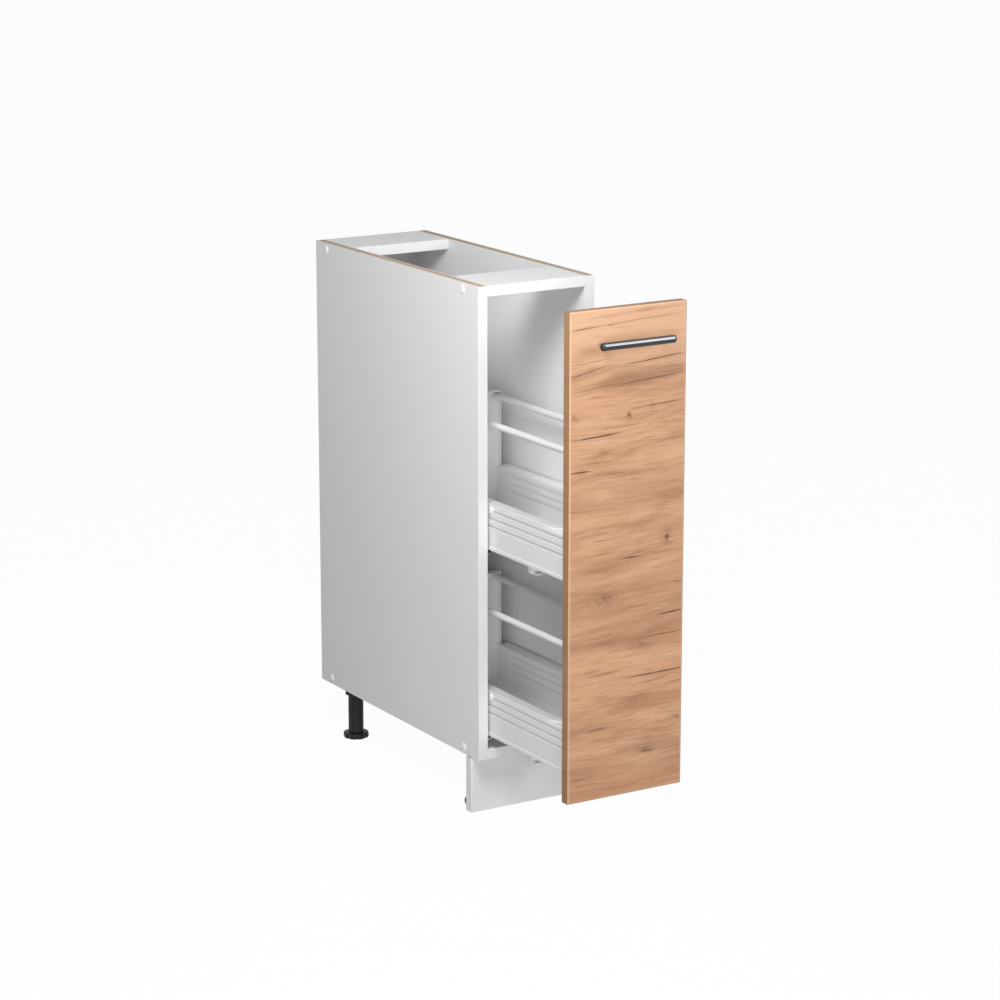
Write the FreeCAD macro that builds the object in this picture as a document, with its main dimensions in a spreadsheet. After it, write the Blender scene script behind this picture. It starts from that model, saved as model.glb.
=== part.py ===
import FreeCAD, Part
import math
import os
import re
import Sketcher

# Pull-out pantry cabinet: a narrow base unit whose door carries two tray tiers on concealed runners.
# X runs across the front, Y from the door to the wall, Z up from the floor. The door stands pulled out.

sizes = {
    # carcass
    "cab_width": 200,
    "cab_height": 720,
    "cab_depth": 500,
    "board": 16,
    "back_thick": 3,
    "back_inset": 2,
    "rail_depth": 98,
    # connecting screws and their caps
    "screw_inset": 10,
    "screw_front": 44,
    "screw_rear": 37.5,
    "screw_length": 50,
    "head_dia": 10,
    "head_depth": 3.5,
    "shank_dia": 6.4,
    "hole_play": 0.05,
    "cap_dia": 13.5,
    "cap_rise": 1.8,
    # legs and plinth
    "leg_height": 90,
    "leg_side": 34,
    "leg_front": 59.5,
    "leg_rear": 55,
    "spigot_dia": 10,
    "spigot_length": 12,
    "collar_dia": 38,
    "collar_height": 10,
    "socket_dia": 32,
    "socket_height": 18,
    "column_dia": 24.4,
    "bore_dia": 18,
    "bore_depth": 50,
    "stem_play": 0.1,
    "stem_length": 44,
    "foot_dia": 41,
    "foot_thick": 9,
    "foot_gap": 0.3,
    "notch_dia": 8,
    "notch_bite": 1.6,
    "plinth_setback": 22,
    "plinth_thick": 16,
    "plinth_low": 2,
    "plinth_gap": 2,
    "plinth_round": 2,
    "clip_height": 14,
    "clip_wall": 2.6,
    "clip_play": 0.1,
    "clip_arm": 16,
    "clip_base": 36,
    "clip_plate": 3,
    "clip_mouth": 18,
    # door and handle
    "door_reveal": 2,
    "door_thick": 16,
    "door_low": 3,
    "door_round": 1.5,
    "closed_gap": 2,
    "rest_pull": 226,
    "bar_dia": 10.5,
    "bar_length": 125,
    "bar_bevel": 1,
    "bar_drop": 48,
    "handle_reach": 24.5,
    "post_dia": 7,
    "post_pitch": 96,
    "handle_screw_dia": 4,
    "handle_screw_bite": 12,
    "handle_head_dia": 8,
    "handle_head": 2.4,
    "bumper_dia": 8,
    "bumper_thick": 1.7,
    "bumper_inset": 14,
    # tray tiers
    "tier_base": 36.5,
    "tier_pitch": 288,
    "tier_length": 438,
    "side_gap": 4,
    "side_thick": 17,
    "side_height": 68,
    "side_round": 2,
    "skin": 1.6,
    "lip": 1,
    "lip_height": 5,
    "groove_width": 5,
    "groove_depth": 1,
    "groove_first": 8.2,
    "groove_pitch": 12,
    "tray_front": 33,
    "tray_back": 1,
    "tray_play": 0.5,
    "tray_wall": 2,
    "tray_lift": 6,
    "tray_bevel": 5,
    "rim_thick": 2.5,
    "rim_corner": 42,
    "rim_bevel": 1,
    "plate": 1.2,
    "plate_over": 9,
    "plate_inset": 17.5,
    "ear_inset": 9,
    "plate_low": 2,
    "plate_bend": 2.4,
    "wing": 7,
    "wing_clear": 1.5,
    "top_wing": 12,
    "tab_length": 25,
    "tab_height": 11,
    "tab_clear": 5,
    "gallery_dia": 10,
    "gallery_inset": 24.5,
    "gallery_up": 180.5,
    "rivet_dia": 6,
    "bracket_screw_dia": 4,
    "bracket_screw_bite": 12,
    "bracket_head_dia": 8,
    "bracket_head": 2,
    "bracket_screw_inset": 26,
    "bracket_screw_low": 25,
    "bracket_screw_high": 150,
    "glide_dia": 13,
    "glide_thick": 2.2,
    "glide_stem": 5,
    "glide_back": 225,
    "glide_up": 61,
    "catch_back": 108,
    "catch_tongue": 12,
    "catch_length": 15,
    "catch_width": 10,
    "catch_height": 14,
    "catch_tip": 3,
    "catch_step": 1,
    # concealed runners
    "runner_length": 400,
    "runner_setback": 2,
    "runner_step": 1,
    "runner_up": 27,
    "runner_drop": 4.5,
    "runner_sheet": 1.5,
    "runner_play": 0.5,
    "mount_height": 30,
    "mount_screw_up": 18,
    "mount_screw_first": 37,
    "mount_screw_pitch": 320,
    "mount_screw_dia": 5,
    "mount_screw_bite": 11,
    "mount_head_dia": 8,
    "mount_head": 0.9,
    "sheet": 1.2,
    "slide_half": 8,
    "flange_play": 1.3,
    "roller_dia": 4.6,
    "roller_play": 0.2,
    "cage_web": 0.7,
    "cage_play": 0.3,
    "cage_start": 105,
    "cage_length": 195,
    "cage_end": 15,
}

# Places worked out from the sizes
places = {
    "front": "(rest_pull + closed_gap + door_thick + handle_reach + bar_dia / 2 - cab_depth) / 2",
    "under": "leg_height",
    "side_depth": "cab_depth - back_thick",
    "inner_half": "cab_width / 2 - board",
    "cab_top": "under + cab_height",
    "leg_x": "cab_width / 2 - leg_side",
    "door_back": "front - closed_gap - rest_pull",
    "door_face": "door_back - door_thick",
    "bar_y": "door_face - handle_reach",
    "bar_z": "cab_top - bar_drop",
    "tier_z": "under + tier_base",
    "tier_half": "inner_half - side_gap",
    "tier_end": "door_back + tier_length",
    "wall_inset": "side_thick + tray_play",
    "gallery_side": "tier_half - gallery_inset",
    "plate_half": "tier_half - plate_inset",
    "ear_half": "tier_half - ear_inset",
    "bracket_screw_side": "plate_half - bracket_screw_inset",
    "plate_top": "gallery_up + plate_over",
    "wing_low": "side_height + rim_thick + wing_clear",
    # runner section, measured inwards from the side panel
    "web_out": "side_gap + skin + runner_play",
    "web_in": "web_out + runner_sheet",
    "cage_gap": "cage_web + 2 * cage_play",
    "mid_out": "web_in + cage_gap",
    "mid_in": "mid_out + sheet",
    "slide_start": "mid_in + cage_gap",
    "slide_end": "side_gap + side_thick - skin",
    "slide_web": "slide_end - sheet",
    "flange_end": "slide_web - flange_play",
    # runner section, measured up and down from its centre line
    "track": "roller_dia + 2 * roller_play",
    "mid_face": "slide_half + track",
    "mid_half": "mid_face + sheet",
    "cab_face": "mid_half + track",
    "cab_half": "cab_face + runner_sheet",
    "runner_centre": "runner_drop + runner_sheet + runner_up",
    "plate_step": "runner_up + cab_half + tab_clear",
}

tiers = ("lower", "upper")
foot_notches = 8

# Flats round screws and small bores, round stems, and round the larger round pieces
pin_flat_count = 8
stem_flat_count = 12
round_flat_count = 20

doc = FreeCAD.newDocument("pull_out_pantry")
dims = doc.addObject("Spreadsheet::Sheet", "dims")
for row, (alias, size) in enumerate(sizes.items(), start=1):
    dims.set("A%d" % row, alias)
    dims.set("B%d" % row, str(size))
    dims.setAlias("B%d" % row, alias)
doc.recompute()

nodes = []
turns = {
    "x": FreeCAD.Rotation(FreeCAD.Vector(0, 1, 0), 90),
    "-x": FreeCAD.Rotation(FreeCAD.Vector(0, 1, 0), -90),
    "y": FreeCAD.Rotation(FreeCAD.Vector(1, 0, 0), -90),
    "-y": FreeCAD.Rotation(FreeCAD.Vector(1, 0, 0), 90),
    "z": FreeCAD.Rotation(),
    "-z": FreeCAD.Rotation(FreeCAD.Vector(1, 0, 0), 180),
}


# Expressions: size names become cells of the sheet, place names their own expressions
def bound(text):
    def swap(match):
        word = match.group()
        if word in places:
            return "(" + bound(places[word]) + ")"
        if word in sizes:
            return "dims." + word
        return word

    return re.sub("[a-z_]+", swap, text)


def number(text):
    return float(dims.evalExpression(bound(text)))


def bind(thing, name, text):
    thing.setExpression(name, bound(text))


def put(thing, spot, along="z"):
    thing.Placement = FreeCAD.Placement(FreeCAD.Vector(), turns[along])
    for axis, text in zip("xyz", spot):
        bind(thing, "Placement.Base." + axis, text)
    return thing


# Plain solids
def block(name, size, corner):
    solid = doc.addObject("Part::Box", name)
    for side, text in zip(("Length", "Width", "Height"), size):
        bind(solid, side, text)
    return put(solid, corner)


def rod(name, dia, length, start, along, flats=round_flat_count):
    solid = doc.addObject("Part::Prism", name)
    solid.Polygon = flats
    bind(solid, "Circumradius", "(%s) / 2" % dia)
    bind(solid, "Height", length)
    return put(solid, start, along)


def stem(name, dia, length, start, along):
    return rod(name, dia, length, start, along, stem_flat_count)


def pin(name, dia, length, start, along):
    return rod(name, dia, length, start, along, pin_flat_count)


# Closed outlines of straight edges, with a radius at those corners that give one
def way(start, end):
    step = end - start
    return round(step.x / step.Length), round(step.y / step.Length)


def shifted_text(point, side, steps):
    if len(point) < 3:
        return point[0], point[1]
    radius = point[2]
    texts = []
    for axis in (0, 1):
        texts.append("(%s) + (%s) * (%d)" % (point[axis], radius, side * steps[axis]))
    return tuple(texts)


def spot_of(texts):
    return FreeCAD.Vector(number(texts[0]), number(texts[1]), 0)


def draw(sketch, points):
    count = len(points)
    corners = [spot_of(point) for point in points]
    ways = [way(corners[index], corners[(index + 1) % count]) for index in range(count)]
    entries = [shifted_text(points[index], -1, ways[index - 1]) for index in range(count)]
    exits = [shifted_text(points[index], 1, ways[index]) for index in range(count)]
    shapes = []
    rules = []
    texts = []

    def rule(kind, *values, text=None):
        rules.append(Sketcher.Constraint(kind, *values))
        texts.append(text)

    def pin(line, end, spot):
        place = spot_of(spot)
        rule("DistanceX", -1, 1, line, end, place.x, text=spot[0])
        rule("DistanceY", -1, 1, line, end, place.y, text=spot[1])

    for index in range(count):
        after = (index + 1) % count
        shapes.append(Part.LineSegment(spot_of(exits[index]), spot_of(entries[after])))
    for index in range(count):
        after = (index + 1) % count
        pin(index, 1, exits[index])
        if len(points[after]) < 3:
            rule("Coincident", index, 2, after, 1)
            continue
        pin(index, 2, entries[after])
        radius = number(points[after][2])
        before_way, after_way = ways[index], ways[after]
        tangent_in, tangent_out = spot_of(entries[after]), spot_of(exits[after])
        centre = tangent_in + FreeCAD.Vector(*after_way, 0) * radius
        angle_in = math.atan2(tangent_in.y - centre.y, tangent_in.x - centre.x)
        angle_out = math.atan2(tangent_out.y - centre.y, tangent_out.x - centre.x)
        left_turn = before_way[0] * after_way[1] - before_way[1] * after_way[0] > 0
        first, last = (angle_in, angle_out) if left_turn else (angle_out, angle_in)
        circle = Part.Circle(centre, FreeCAD.Vector(0, 0, 1), radius)
        arc = len(shapes)
        shapes.append(Part.ArcOfCircle(circle, first, last))
        start_end, finish_end = (1, 2) if left_turn else (2, 1)
        rule("Coincident", index, 2, arc, start_end)
        rule("Coincident", arc, finish_end, after, 1)
        rule("Radius", arc, radius, text=points[after][2])
    sketch.addGeometry(shapes, False)
    sketch.addConstraint(rules)
    for index, text in enumerate(texts):
        if text is not None:
            bind(sketch, "Constraints[%d]" % index, text)


def sketch_on(body, name, plane, points):
    sketch = body.newObject("Sketcher::SketchObject", name)
    for feature in body.Origin.OriginFeatures:
        if feature.Role == plane:
            sketch.AttachmentSupport = [(feature, "")]
    sketch.MapMode = "FlatFace"
    draw(sketch, points)
    return sketch


# A profile pushed along Y (drawn in X and Z), along Z (drawn in X and Y) or along X (drawn in Y and Z)
def extruded(name, along, points, length, corner):
    plane = {"x": "YZ_Plane", "y": "XZ_Plane", "z": "XY_Plane"}[along]
    body = doc.addObject("PartDesign::Body", name)
    sketch = sketch_on(body, name + "_outline", plane, points)
    pad = body.newObject("PartDesign::Pad", name + "_pad")
    pad.Profile = sketch
    pad.Reversed = along == "y"
    bind(pad, "Length", length)
    return put(body, corner)


# A turned piece: points are radius and distance along the axis
def turned(name, points, start, along):
    body = doc.addObject("PartDesign::Body", name)
    sketch = sketch_on(body, name + "_outline", "XZ_Plane", points)
    spin = body.newObject("PartDesign::Revolution", name + "_spin")
    spin.Profile = sketch
    spin.ReferenceAxis = (sketch, ["V_Axis"])
    return put(body, start, along)


# Combinations
def group(name, pieces):
    bundle = doc.addObject("Part::Compound", name)
    bundle.Links = pieces
    return bundle


def fuse(name, pieces):
    joined = doc.addObject("Part::MultiFuse", name)
    joined.Shapes = pieces
    joined.Refine = True
    return joined


def cut(name, base, tools):
    result = doc.addObject("Part::Cut", name)
    result.Base = base
    result.Tool = tools[0] if len(tools) == 1 else group(name + "_cuts", tools)
    return result


def screw(name, head_dia, head, dia, length, start, along):
    head_piece = pin(name + "_head", head_dia, head, start, along)
    return fuse(name, [head_piece, pin(name + "_shank", dia, length, start, along)])


def mirrored(name, source):
    copy = doc.addObject("Part::Mirroring", name)
    copy.Source = source
    copy.Normal = FreeCAD.Vector(1, 0, 0)
    return copy


def moved(name, source, shift):
    return put(group(name, [source]), shift)


def node(piece):
    nodes.append(piece)
    return piece


# A left piece of the lower tier gives its right twin and both pieces of the upper tier
def four_of(name, left):
    right = mirrored(name + "_lower_right", left)
    rise = ("0", "0", "tier_pitch")
    return [left, right, moved(name + "_upper_left", left, rise), moved(name + "_upper_right", right, rise)]


# Carcass boards
screw_rows = (
    ("front + screw_front", "cab_top - screw_inset", "top_front"),
    ("front + cab_depth - screw_rear", "cab_top - screw_inset", "top_rear"),
    ("front + screw_front", "under + screw_inset", "low_front"),
    ("front + cab_depth - screw_rear", "under + screw_inset", "low_rear"),
)
mount_screw_rows = []
for tier, rise in zip(tiers, ("0", "tier_pitch")):
    for end, step in (("front", "0"), ("rear", "mount_screw_pitch")):
        row_y = "front + mount_screw_first + " + step
        row_z = "tier_z - runner_drop - runner_sheet + mount_screw_up + " + rise
        mount_screw_rows.append((row_y, row_z, tier + "_" + end))

panel_cuts = []
for row_y, row_z, tag in screw_rows:
    face = ("-cab_width / 2", row_y, row_z)
    panel_cuts.append(pin("panel_shank_" + tag, "shank_dia + 2 * hole_play", "board", face, "x"))
    panel_cuts.append(pin("panel_head_" + tag, "head_dia + 2 * hole_play", "head_depth", face, "x"))
for row_y, row_z, tag in mount_screw_rows:
    face = ("-inner_half", row_y, row_z)
    depth = "mount_screw_bite + hole_play"
    panel_cuts.append(pin("panel_pilot_" + tag, "mount_screw_dia + 2 * hole_play", depth, face, "-x"))
left_board = block("left_board", ("board", "side_depth", "cab_height"), ("-cab_width / 2", "front", "under"))
panel_bores = fuse("panel_bores", panel_cuts)
left_panel = node(cut("left_side_panel", left_board, [panel_bores]))
node(mirrored("right_side_panel", left_panel))


def end_bores(name, row_y, row_z):
    depth = "screw_length - board + hole_play"
    left = pin(name + "_bore", "shank_dia + 2 * hole_play", depth, ("-inner_half", row_y, row_z), "x")
    return [left, mirrored(name + "_bore_twin", left)]


def cross_board(name, row_y, depth, row_z, cuts):
    board = block(name + "_board", ("2 * inner_half", depth, "board"), ("-inner_half", row_y, row_z))
    return node(cut(name, board, cuts))


leg_spots = {
    "front_left": ("-leg_x", "front + leg_front"),
    "front_right": ("leg_x", "front + leg_front"),
    "rear_left": ("-leg_x", "front + cab_depth - leg_rear"),
    "rear_right": ("leg_x", "front + cab_depth - leg_rear"),
}
bores = {tag: end_bores(tag, row_y, row_z) for row_y, row_z, tag in screw_rows}
spigot_bores = []
for corner, (leg_row_x, leg_row_y) in leg_spots.items():
    depth = "spigot_length + hole_play"
    spot = (leg_row_x, leg_row_y, "under")
    spigot_bores.append(pin("spigot_bore_" + corner, "spigot_dia + 2 * hole_play", depth, spot, "z"))
bottom_cuts = bores["low_front"] + bores["low_rear"] + spigot_bores
cross_board("bottom_panel", "front", "side_depth", "under", bottom_cuts)
cross_board("front_top_rail", "front", "rail_depth", "cab_top - board", bores["top_front"])
rear_rail_y = "front + side_depth - rail_depth"
cross_board("rear_top_rail", rear_rail_y, "rail_depth", "cab_top - board", bores["top_rear"])
back_size = ("cab_width - 2 * back_inset", "back_thick", "cab_height - 2 * back_inset")
back_corner = ("back_inset - cab_width / 2", "front + side_depth", "under + back_inset")
node(block("back_panel", back_size, back_corner))

# Connecting screws, and the caps that cover their heads
left_screws = []
left_caps = []
for row_y, row_z, tag in screw_rows:
    face = ("-cab_width / 2", row_y, row_z)
    left_screws.append(screw("screw_" + tag, "head_dia", "head_depth", "shank_dia", "screw_length",
                             face, "x"))
    left_caps.append(rod("cap_" + tag, "cap_dia", "cap_rise", face, "-x"))
screws_left = group("screws_left", left_screws)
caps_left = group("caps_left", left_caps)
node(group("connecting_screws", [screws_left, mirrored("screws_right", screws_left)]))
node(group("screw_caps", [caps_left, mirrored("caps_right", caps_left)]))

# Legs: a spigot pressed into the bottom panel, a stepped collar, and a column bored for the foot's stem
leg_spot = leg_spots["front_left"]
leg_foot = "foot_thick + foot_gap"
leg_solid = fuse("leg_solid", [
    pin("leg_spigot", "spigot_dia", "spigot_length", leg_spot + ("under",), "z"),
    rod("leg_collar", "collar_dia", "collar_height", leg_spot + ("under - collar_height",), "z"),
    rod("leg_socket", "socket_dia", "socket_height", leg_spot + ("under - socket_height",), "z"),
    rod("leg_column", "column_dia", "under - (%s)" % leg_foot, leg_spot + (leg_foot,), "z"),
])
leg_bore = stem("leg_bore", "bore_dia", "bore_depth", leg_spot + (leg_foot,), "z")
front_left_leg = cut("leg_front_left", leg_solid, [leg_bore])
foot_disc = rod("foot_disc", "foot_dia", "foot_thick", leg_spot + ("0",), "z")
stem_dia = "bore_dia - 2 * stem_play"
foot_stem = stem("foot_stem", stem_dia, "foot_thick + stem_length", leg_spot + ("0",), "z")
notches = []
for step in range(foot_notches):
    angle = 2 * math.pi * (step + 0.5) / foot_notches
    ring = "(foot_dia / 2 + notch_dia / 2 - notch_bite)"
    notch_x = "%s + %s * %.9f" % (leg_spot[0], ring, math.cos(angle))
    notch_y = "%s + %s * %.9f" % (leg_spot[1], ring, math.sin(angle))
    notches.append(stem("notch_%d" % step, "notch_dia", "foot_thick", (notch_x, notch_y, "0"), "z"))
front_left_foot = cut("foot_front_left", fuse("foot_solid", [foot_disc, foot_stem]), notches)
leg_pitch = ("0", "cab_depth - leg_rear - leg_front", "0")
for name, front_left in (("leg", front_left_leg), ("foot", front_left_foot)):
    front_right = mirrored(name + "_front_right", front_left)
    node(front_left)
    node(front_right)
    node(moved(name + "_rear_left", front_left, leg_pitch))
    node(moved(name + "_rear_right", front_right, leg_pitch))

# Plinth, held by a spring clip on each front leg
plinth_y = "front + plinth_setback"
plinth = [("-cab_width / 2", "0", "plinth_round"), ("cab_width / 2", "0", "plinth_round"),
          ("cab_width / 2", "plinth_thick"), ("-cab_width / 2", "plinth_thick")]
plinth_tall = "leg_height - plinth_low - plinth_gap"
node(extruded("plinth", "z", plinth, plinth_tall, ("0", plinth_y, "plinth_low")))
clip_z = "(leg_height - clip_height) / 2"
clip_axis = leg_spot + (clip_z,)
clip_inner = "column_dia + 2 * clip_play"
clip_ring = rod("clip_ring", clip_inner + " + 2 * clip_wall", "clip_height", clip_axis, "z")
clip_bar = block("clip_bar", ("clip_arm", "leg_front - plinth_setback - plinth_thick", "clip_height"),
                 ("-leg_x - clip_arm / 2", plinth_y + " + plinth_thick", clip_z))
clip_foot = block("clip_foot", ("clip_base", "clip_plate", "clip_height"),
                  ("-leg_x - clip_base / 2", plinth_y + " + plinth_thick", clip_z))
clip_solid = fuse("clip_solid", [clip_ring, clip_bar, clip_foot])
clip_bore = rod("clip_bore", clip_inner, "clip_height", clip_axis, "z")
clip_gap = block("clip_gap", ("clip_mouth", "column_dia", "clip_height"),
                 ("-leg_x - clip_mouth / 2", leg_spot[1], clip_z))
left_clip = node(cut("plinth_clip_left", clip_solid, [fuse("clip_opening", [clip_bore, clip_gap])]))
node(mirrored("plinth_clip_right", left_clip))

# Concealed runner: cabinet rail with its mounting flange, hooked under the tray wall's outer skin
cabinet_rail = [("0", "0"), ("web_in", "0"), ("web_in", "runner_centre - cab_half"),
                ("flange_end", "runner_centre - cab_half"), ("flange_end", "runner_centre - cab_face"),
                ("web_in", "runner_centre - cab_face"), ("web_in", "runner_centre + cab_face"),
                ("flange_end", "runner_centre + cab_face"), ("flange_end", "runner_centre + cab_half"),
                ("web_out", "runner_centre + cab_half"), ("web_out", "runner_sheet"),
                ("runner_sheet", "runner_sheet"), ("runner_sheet", "mount_height"), ("0", "mount_height")]
runner_foot = "tier_z - runner_drop - runner_sheet"
rail_blank = extruded("cabinet_rail_blank", "y", cabinet_rail, "runner_length",
                      ("-inner_half", "front + runner_setback", runner_foot))
mount_holes = []
for row_y, row_z, tag in mount_screw_rows[:2]:
    start = ("-inner_half", row_y, row_z)
    hole_dia = "mount_screw_dia + 2 * hole_play"
    mount_holes.append(pin("mount_hole_" + tag, hole_dia, "runner_sheet", start, "x"))
lower_cabinet_rail = cut("cabinet_rail_lower_left", rail_blank, mount_holes)
for piece in four_of("cabinet_rail", lower_cabinet_rail):
    node(piece)

mount_length = "mount_head + runner_sheet + mount_screw_bite"
left_mounts = []
for row_y, row_z, tag in mount_screw_rows:
    start = ("-inner_half + runner_sheet + mount_head", row_y, row_z)
    left_mounts.append(screw("mount_screw_" + tag, "mount_head_dia", "mount_head", "mount_screw_dia",
                             mount_length, start, "-x"))
mounts_left = group("mount_screws_left", left_mounts)
node(group("runner_screws", [mounts_left, mirrored("mount_screws_right", mounts_left)]))


# Runner members: channels that nest inside one another, pushed along Y
def channel(back, bend, tips, half, wall):
    return [(back, "-" + half), (tips, "-" + half), (tips, wall + " - " + half), (bend, wall + " - " + half),
            (bend, half + " - " + wall), (tips, half + " - " + wall), (tips, half), (back, half)]


runner_z = "tier_z + runner_up"
mid_y = "front + runner_setback + runner_step - rest_pull / 2"
slide_y = "front + runner_setback + 2 * runner_step - rest_pull"
mid_channel = channel("mid_out", "mid_in", "flange_end", "mid_half", "sheet")
slide_channel = channel("slide_end", "slide_web", "slide_start", "slide_half", "sheet")
for name, points, start_y in (("mid_rail", mid_channel, mid_y), ("drawer_rail", slide_channel, slide_y)):
    left = extruded(name + "_lower_left", "y", points, "runner_length", ("-inner_half", start_y, runner_z))
    for piece in four_of(name, left):
        node(piece)

# Roller carriages between the members, each with rollers above and below
carriages = (
    ("outer", "web_in", "mid_half", "cab_face", "front + cage_start - rest_pull / 4"),
    ("inner", "mid_in", "slide_half", "mid_face", "front + cage_start - 3 * rest_pull / 4"),
)
for name, wall, low_face, high_face, start_y in carriages:
    back = wall + " + cage_play"
    bend = back + " + cage_web"
    tips = "flange_end - cage_play"
    half = "(" + high_face + " - cage_play)"
    bar = "(%s - %s - 2 * cage_play)" % (high_face, low_face)
    blank = extruded(name + "_carriage_blank", "y", channel(back, bend, tips, half, bar), "cage_length",
                     ("-inner_half", start_y, runner_z))
    window_start = bend + " + cage_web"
    window_width = "%s - cage_web - (%s)" % (tips, window_start)
    windows = []
    rollers = []
    for side, sign in (("top", "+"), ("low", "-")):
        for end, offset in (("front", "cage_end"), ("rear", "cage_length - cage_end")):
            tag = "%s_%s_%s" % (name, side, end)
            roller_y = "%s + %s" % (start_y, offset)
            roller_z = "%s %s (%s + track / 2)" % (runner_z, sign, low_face)
            window_size = (window_width, "roller_dia + 2 * cage_play", "track")
            window_corner = ("-inner_half + " + window_start, roller_y + " - roller_dia / 2 - cage_play",
                             roller_z + " - track / 2")
            windows.append(block("window_" + tag, window_size, window_corner))
            roller_start = ("-inner_half + %s + cage_play" % window_start, roller_y, roller_z)
            roller_width = window_width + " - 2 * cage_play"
            rollers.append(pin("roller_" + tag, "roller_dia", roller_width, roller_start, "x"))
    carriage = cut(name + "_carriage_lower_left", blank, windows)
    roller_set = group(name + "_rollers_lower_left", rollers)
    node(group(name + "_carriages", four_of(name + "_carriage", carriage)))
    node(group(name + "_rollers", four_of(name + "_rollers", roller_set)))

# Tray walls: hollow profiles with three grooves and a bottom lip outside
wall_outline = [("-lip", "0"), ("skin", "0"), ("skin", "side_height - skin"),
                ("side_thick - skin", "side_height - skin"), ("side_thick - skin", "0"), ("side_thick", "0"),
                ("side_thick", "side_height"), ("0", "side_height", "side_round")]
groove_rows = ["side_height - groove_first - %d * groove_pitch" % row for row in range(3)]
for groove_row in groove_rows:
    above = groove_row + " + groove_width / 2"
    below = groove_row + " - groove_width / 2"
    wall_outline += [("0", above), ("groove_depth", groove_row), ("0", below)]
wall_outline += [("0", "lip_height"), ("-lip", "lip_height")]
wall_blank = extruded("tray_wall_blank", "y", wall_outline, "tier_length - plate",
                      ("-tier_half", "door_back + plate", "tier_z"))
glide_spot = ("-tier_half", "door_back + glide_back", "tier_z + glide_up")
glide_hole = pin("glide_hole", "glide_stem + 2 * hole_play", "skin", glide_spot, "x")
for piece in four_of("tray_wall", cut("tray_wall_lower_left", wall_blank, [glide_hole])):
    node(piece)

glide_disc = rod("glide_disc", "glide_dia", "glide_thick", glide_spot, "-x")
glide_pin = pin("glide_pin", "glide_stem", "skin", glide_spot, "x")
glide_left = fuse("glide_lower_left", [glide_disc, glide_pin])
node(group("side_glides", four_of("glide", glide_left)))

catch_low = "catch_step"
catch_high = "catch_step + catch_tip"
catch_far = "catch_tongue + catch_length"
catch = [("0", catch_low), ("catch_tongue", catch_low), ("catch_tongue", "0"), (catch_far, "0"),
         (catch_far, "catch_height"), ("catch_tongue", "catch_height"), ("catch_tongue", catch_high),
         ("0", catch_high)]
catch_spot = ("-tier_half + side_thick - catch_width", "door_back + catch_back", "tier_z - catch_height")
catch_left = extruded("catch_lower_left", "x", catch, "catch_width", catch_spot)
node(group("release_catches", four_of("catch", catch_left)))


# Tray: a moulded dish that hangs by its rim on the two walls, open to the upright behind
def rounded(inset, corner, end="0"):
    half = "tier_half - (%s)" % inset
    near = "tray_front + " + inset
    far = "tier_length - tray_back - (%s)" % end
    back = "-(%s)" % half
    return [(back, near, corner), (half, near, corner), (half, far), (back, far)]


def face_at(shape, level):
    for index, face in enumerate(shape.Faces, start=1):
        if face.BoundBox.ZLength < 1e-6 and abs(face.BoundBox.ZMin - level) < 1e-6:
            return "Face%d" % index
    raise ValueError("no flat face at that height")


def bevel(body, base, level, size):
    edge = body.newObject("PartDesign::Chamfer", body.Name + "_bevel")
    edge.Base = (base, [face_at(base.Shape, number(level))])
    bind(edge, "Size", size)
    doc.recompute()


dish = doc.addObject("PartDesign::Body", "tray_dish")
rim = dish.newObject("PartDesign::Pad", "tray_rim")
rim.Profile = sketch_on(dish, "rim_outline", "XY_Plane", rounded("0", "rim_corner"))
bind(rim, "Length", "rim_thick")
doc.recompute()
bevel(dish, rim, "rim_thick", "rim_bevel")
bowl = dish.newObject("PartDesign::Pad", "tray_bowl")
bowl.Profile = sketch_on(dish, "bowl_outline", "XY_Plane", rounded("wall_inset", "rim_corner - wall_inset"))
bowl.Reversed = True
bind(bowl, "Length", "side_height - tray_lift")
doc.recompute()
hollow = dish.newObject("PartDesign::Pocket", "tray_hollow")
hollow_inset = "wall_inset + tray_wall"
hollow_corner = "rim_corner - (%s)" % hollow_inset
hollow.Profile = sketch_on(dish, "hollow_outline", "XY_Plane", rounded(hollow_inset, hollow_corner, "tray_wall"))
bind(hollow.Profile[0], "AttachmentOffset.Base.z", "rim_thick")
bind(hollow, "Length", "rim_thick + side_height - tray_lift - tray_wall")
doc.recompute()
bevel(dish, hollow, "tray_lift + tray_wall - side_height", "tray_bevel")
put(dish, ("0", "door_back", "tier_z + side_height"))
tray_grooves = []
groove_length = "tier_length - tray_back - tray_front - 2 * rim_corner"
for row, groove_row in enumerate(groove_rows):
    groove = extruded("tray_groove_%d" % row, "y",
                      [("0", "-groove_width / 2"), ("0", "groove_width / 2"), ("-groove_depth", "0")], groove_length,
                      (hollow_inset + " - tier_half", "door_back + tray_front + rim_corner", "tier_z + " + groove_row))
    tray_grooves += [groove, mirrored("tray_groove_twin_%d" % row, groove)]
sill = "tray_lift + tray_wall + tray_bevel"
tray_mouth = block("tray_mouth", ("2 * (tier_half - (%s))" % hollow_inset, "tray_wall", "side_height"),
                   (hollow_inset + " - tier_half", "tier_end - tray_back - tray_wall", "tier_z + " + sill))
lower_tray = node(cut("tray_lower", dish, tray_grooves + [tray_mouth]))
node(moved("tray_upper", lower_tray, ("0", "0", "tier_pitch")))

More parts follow.
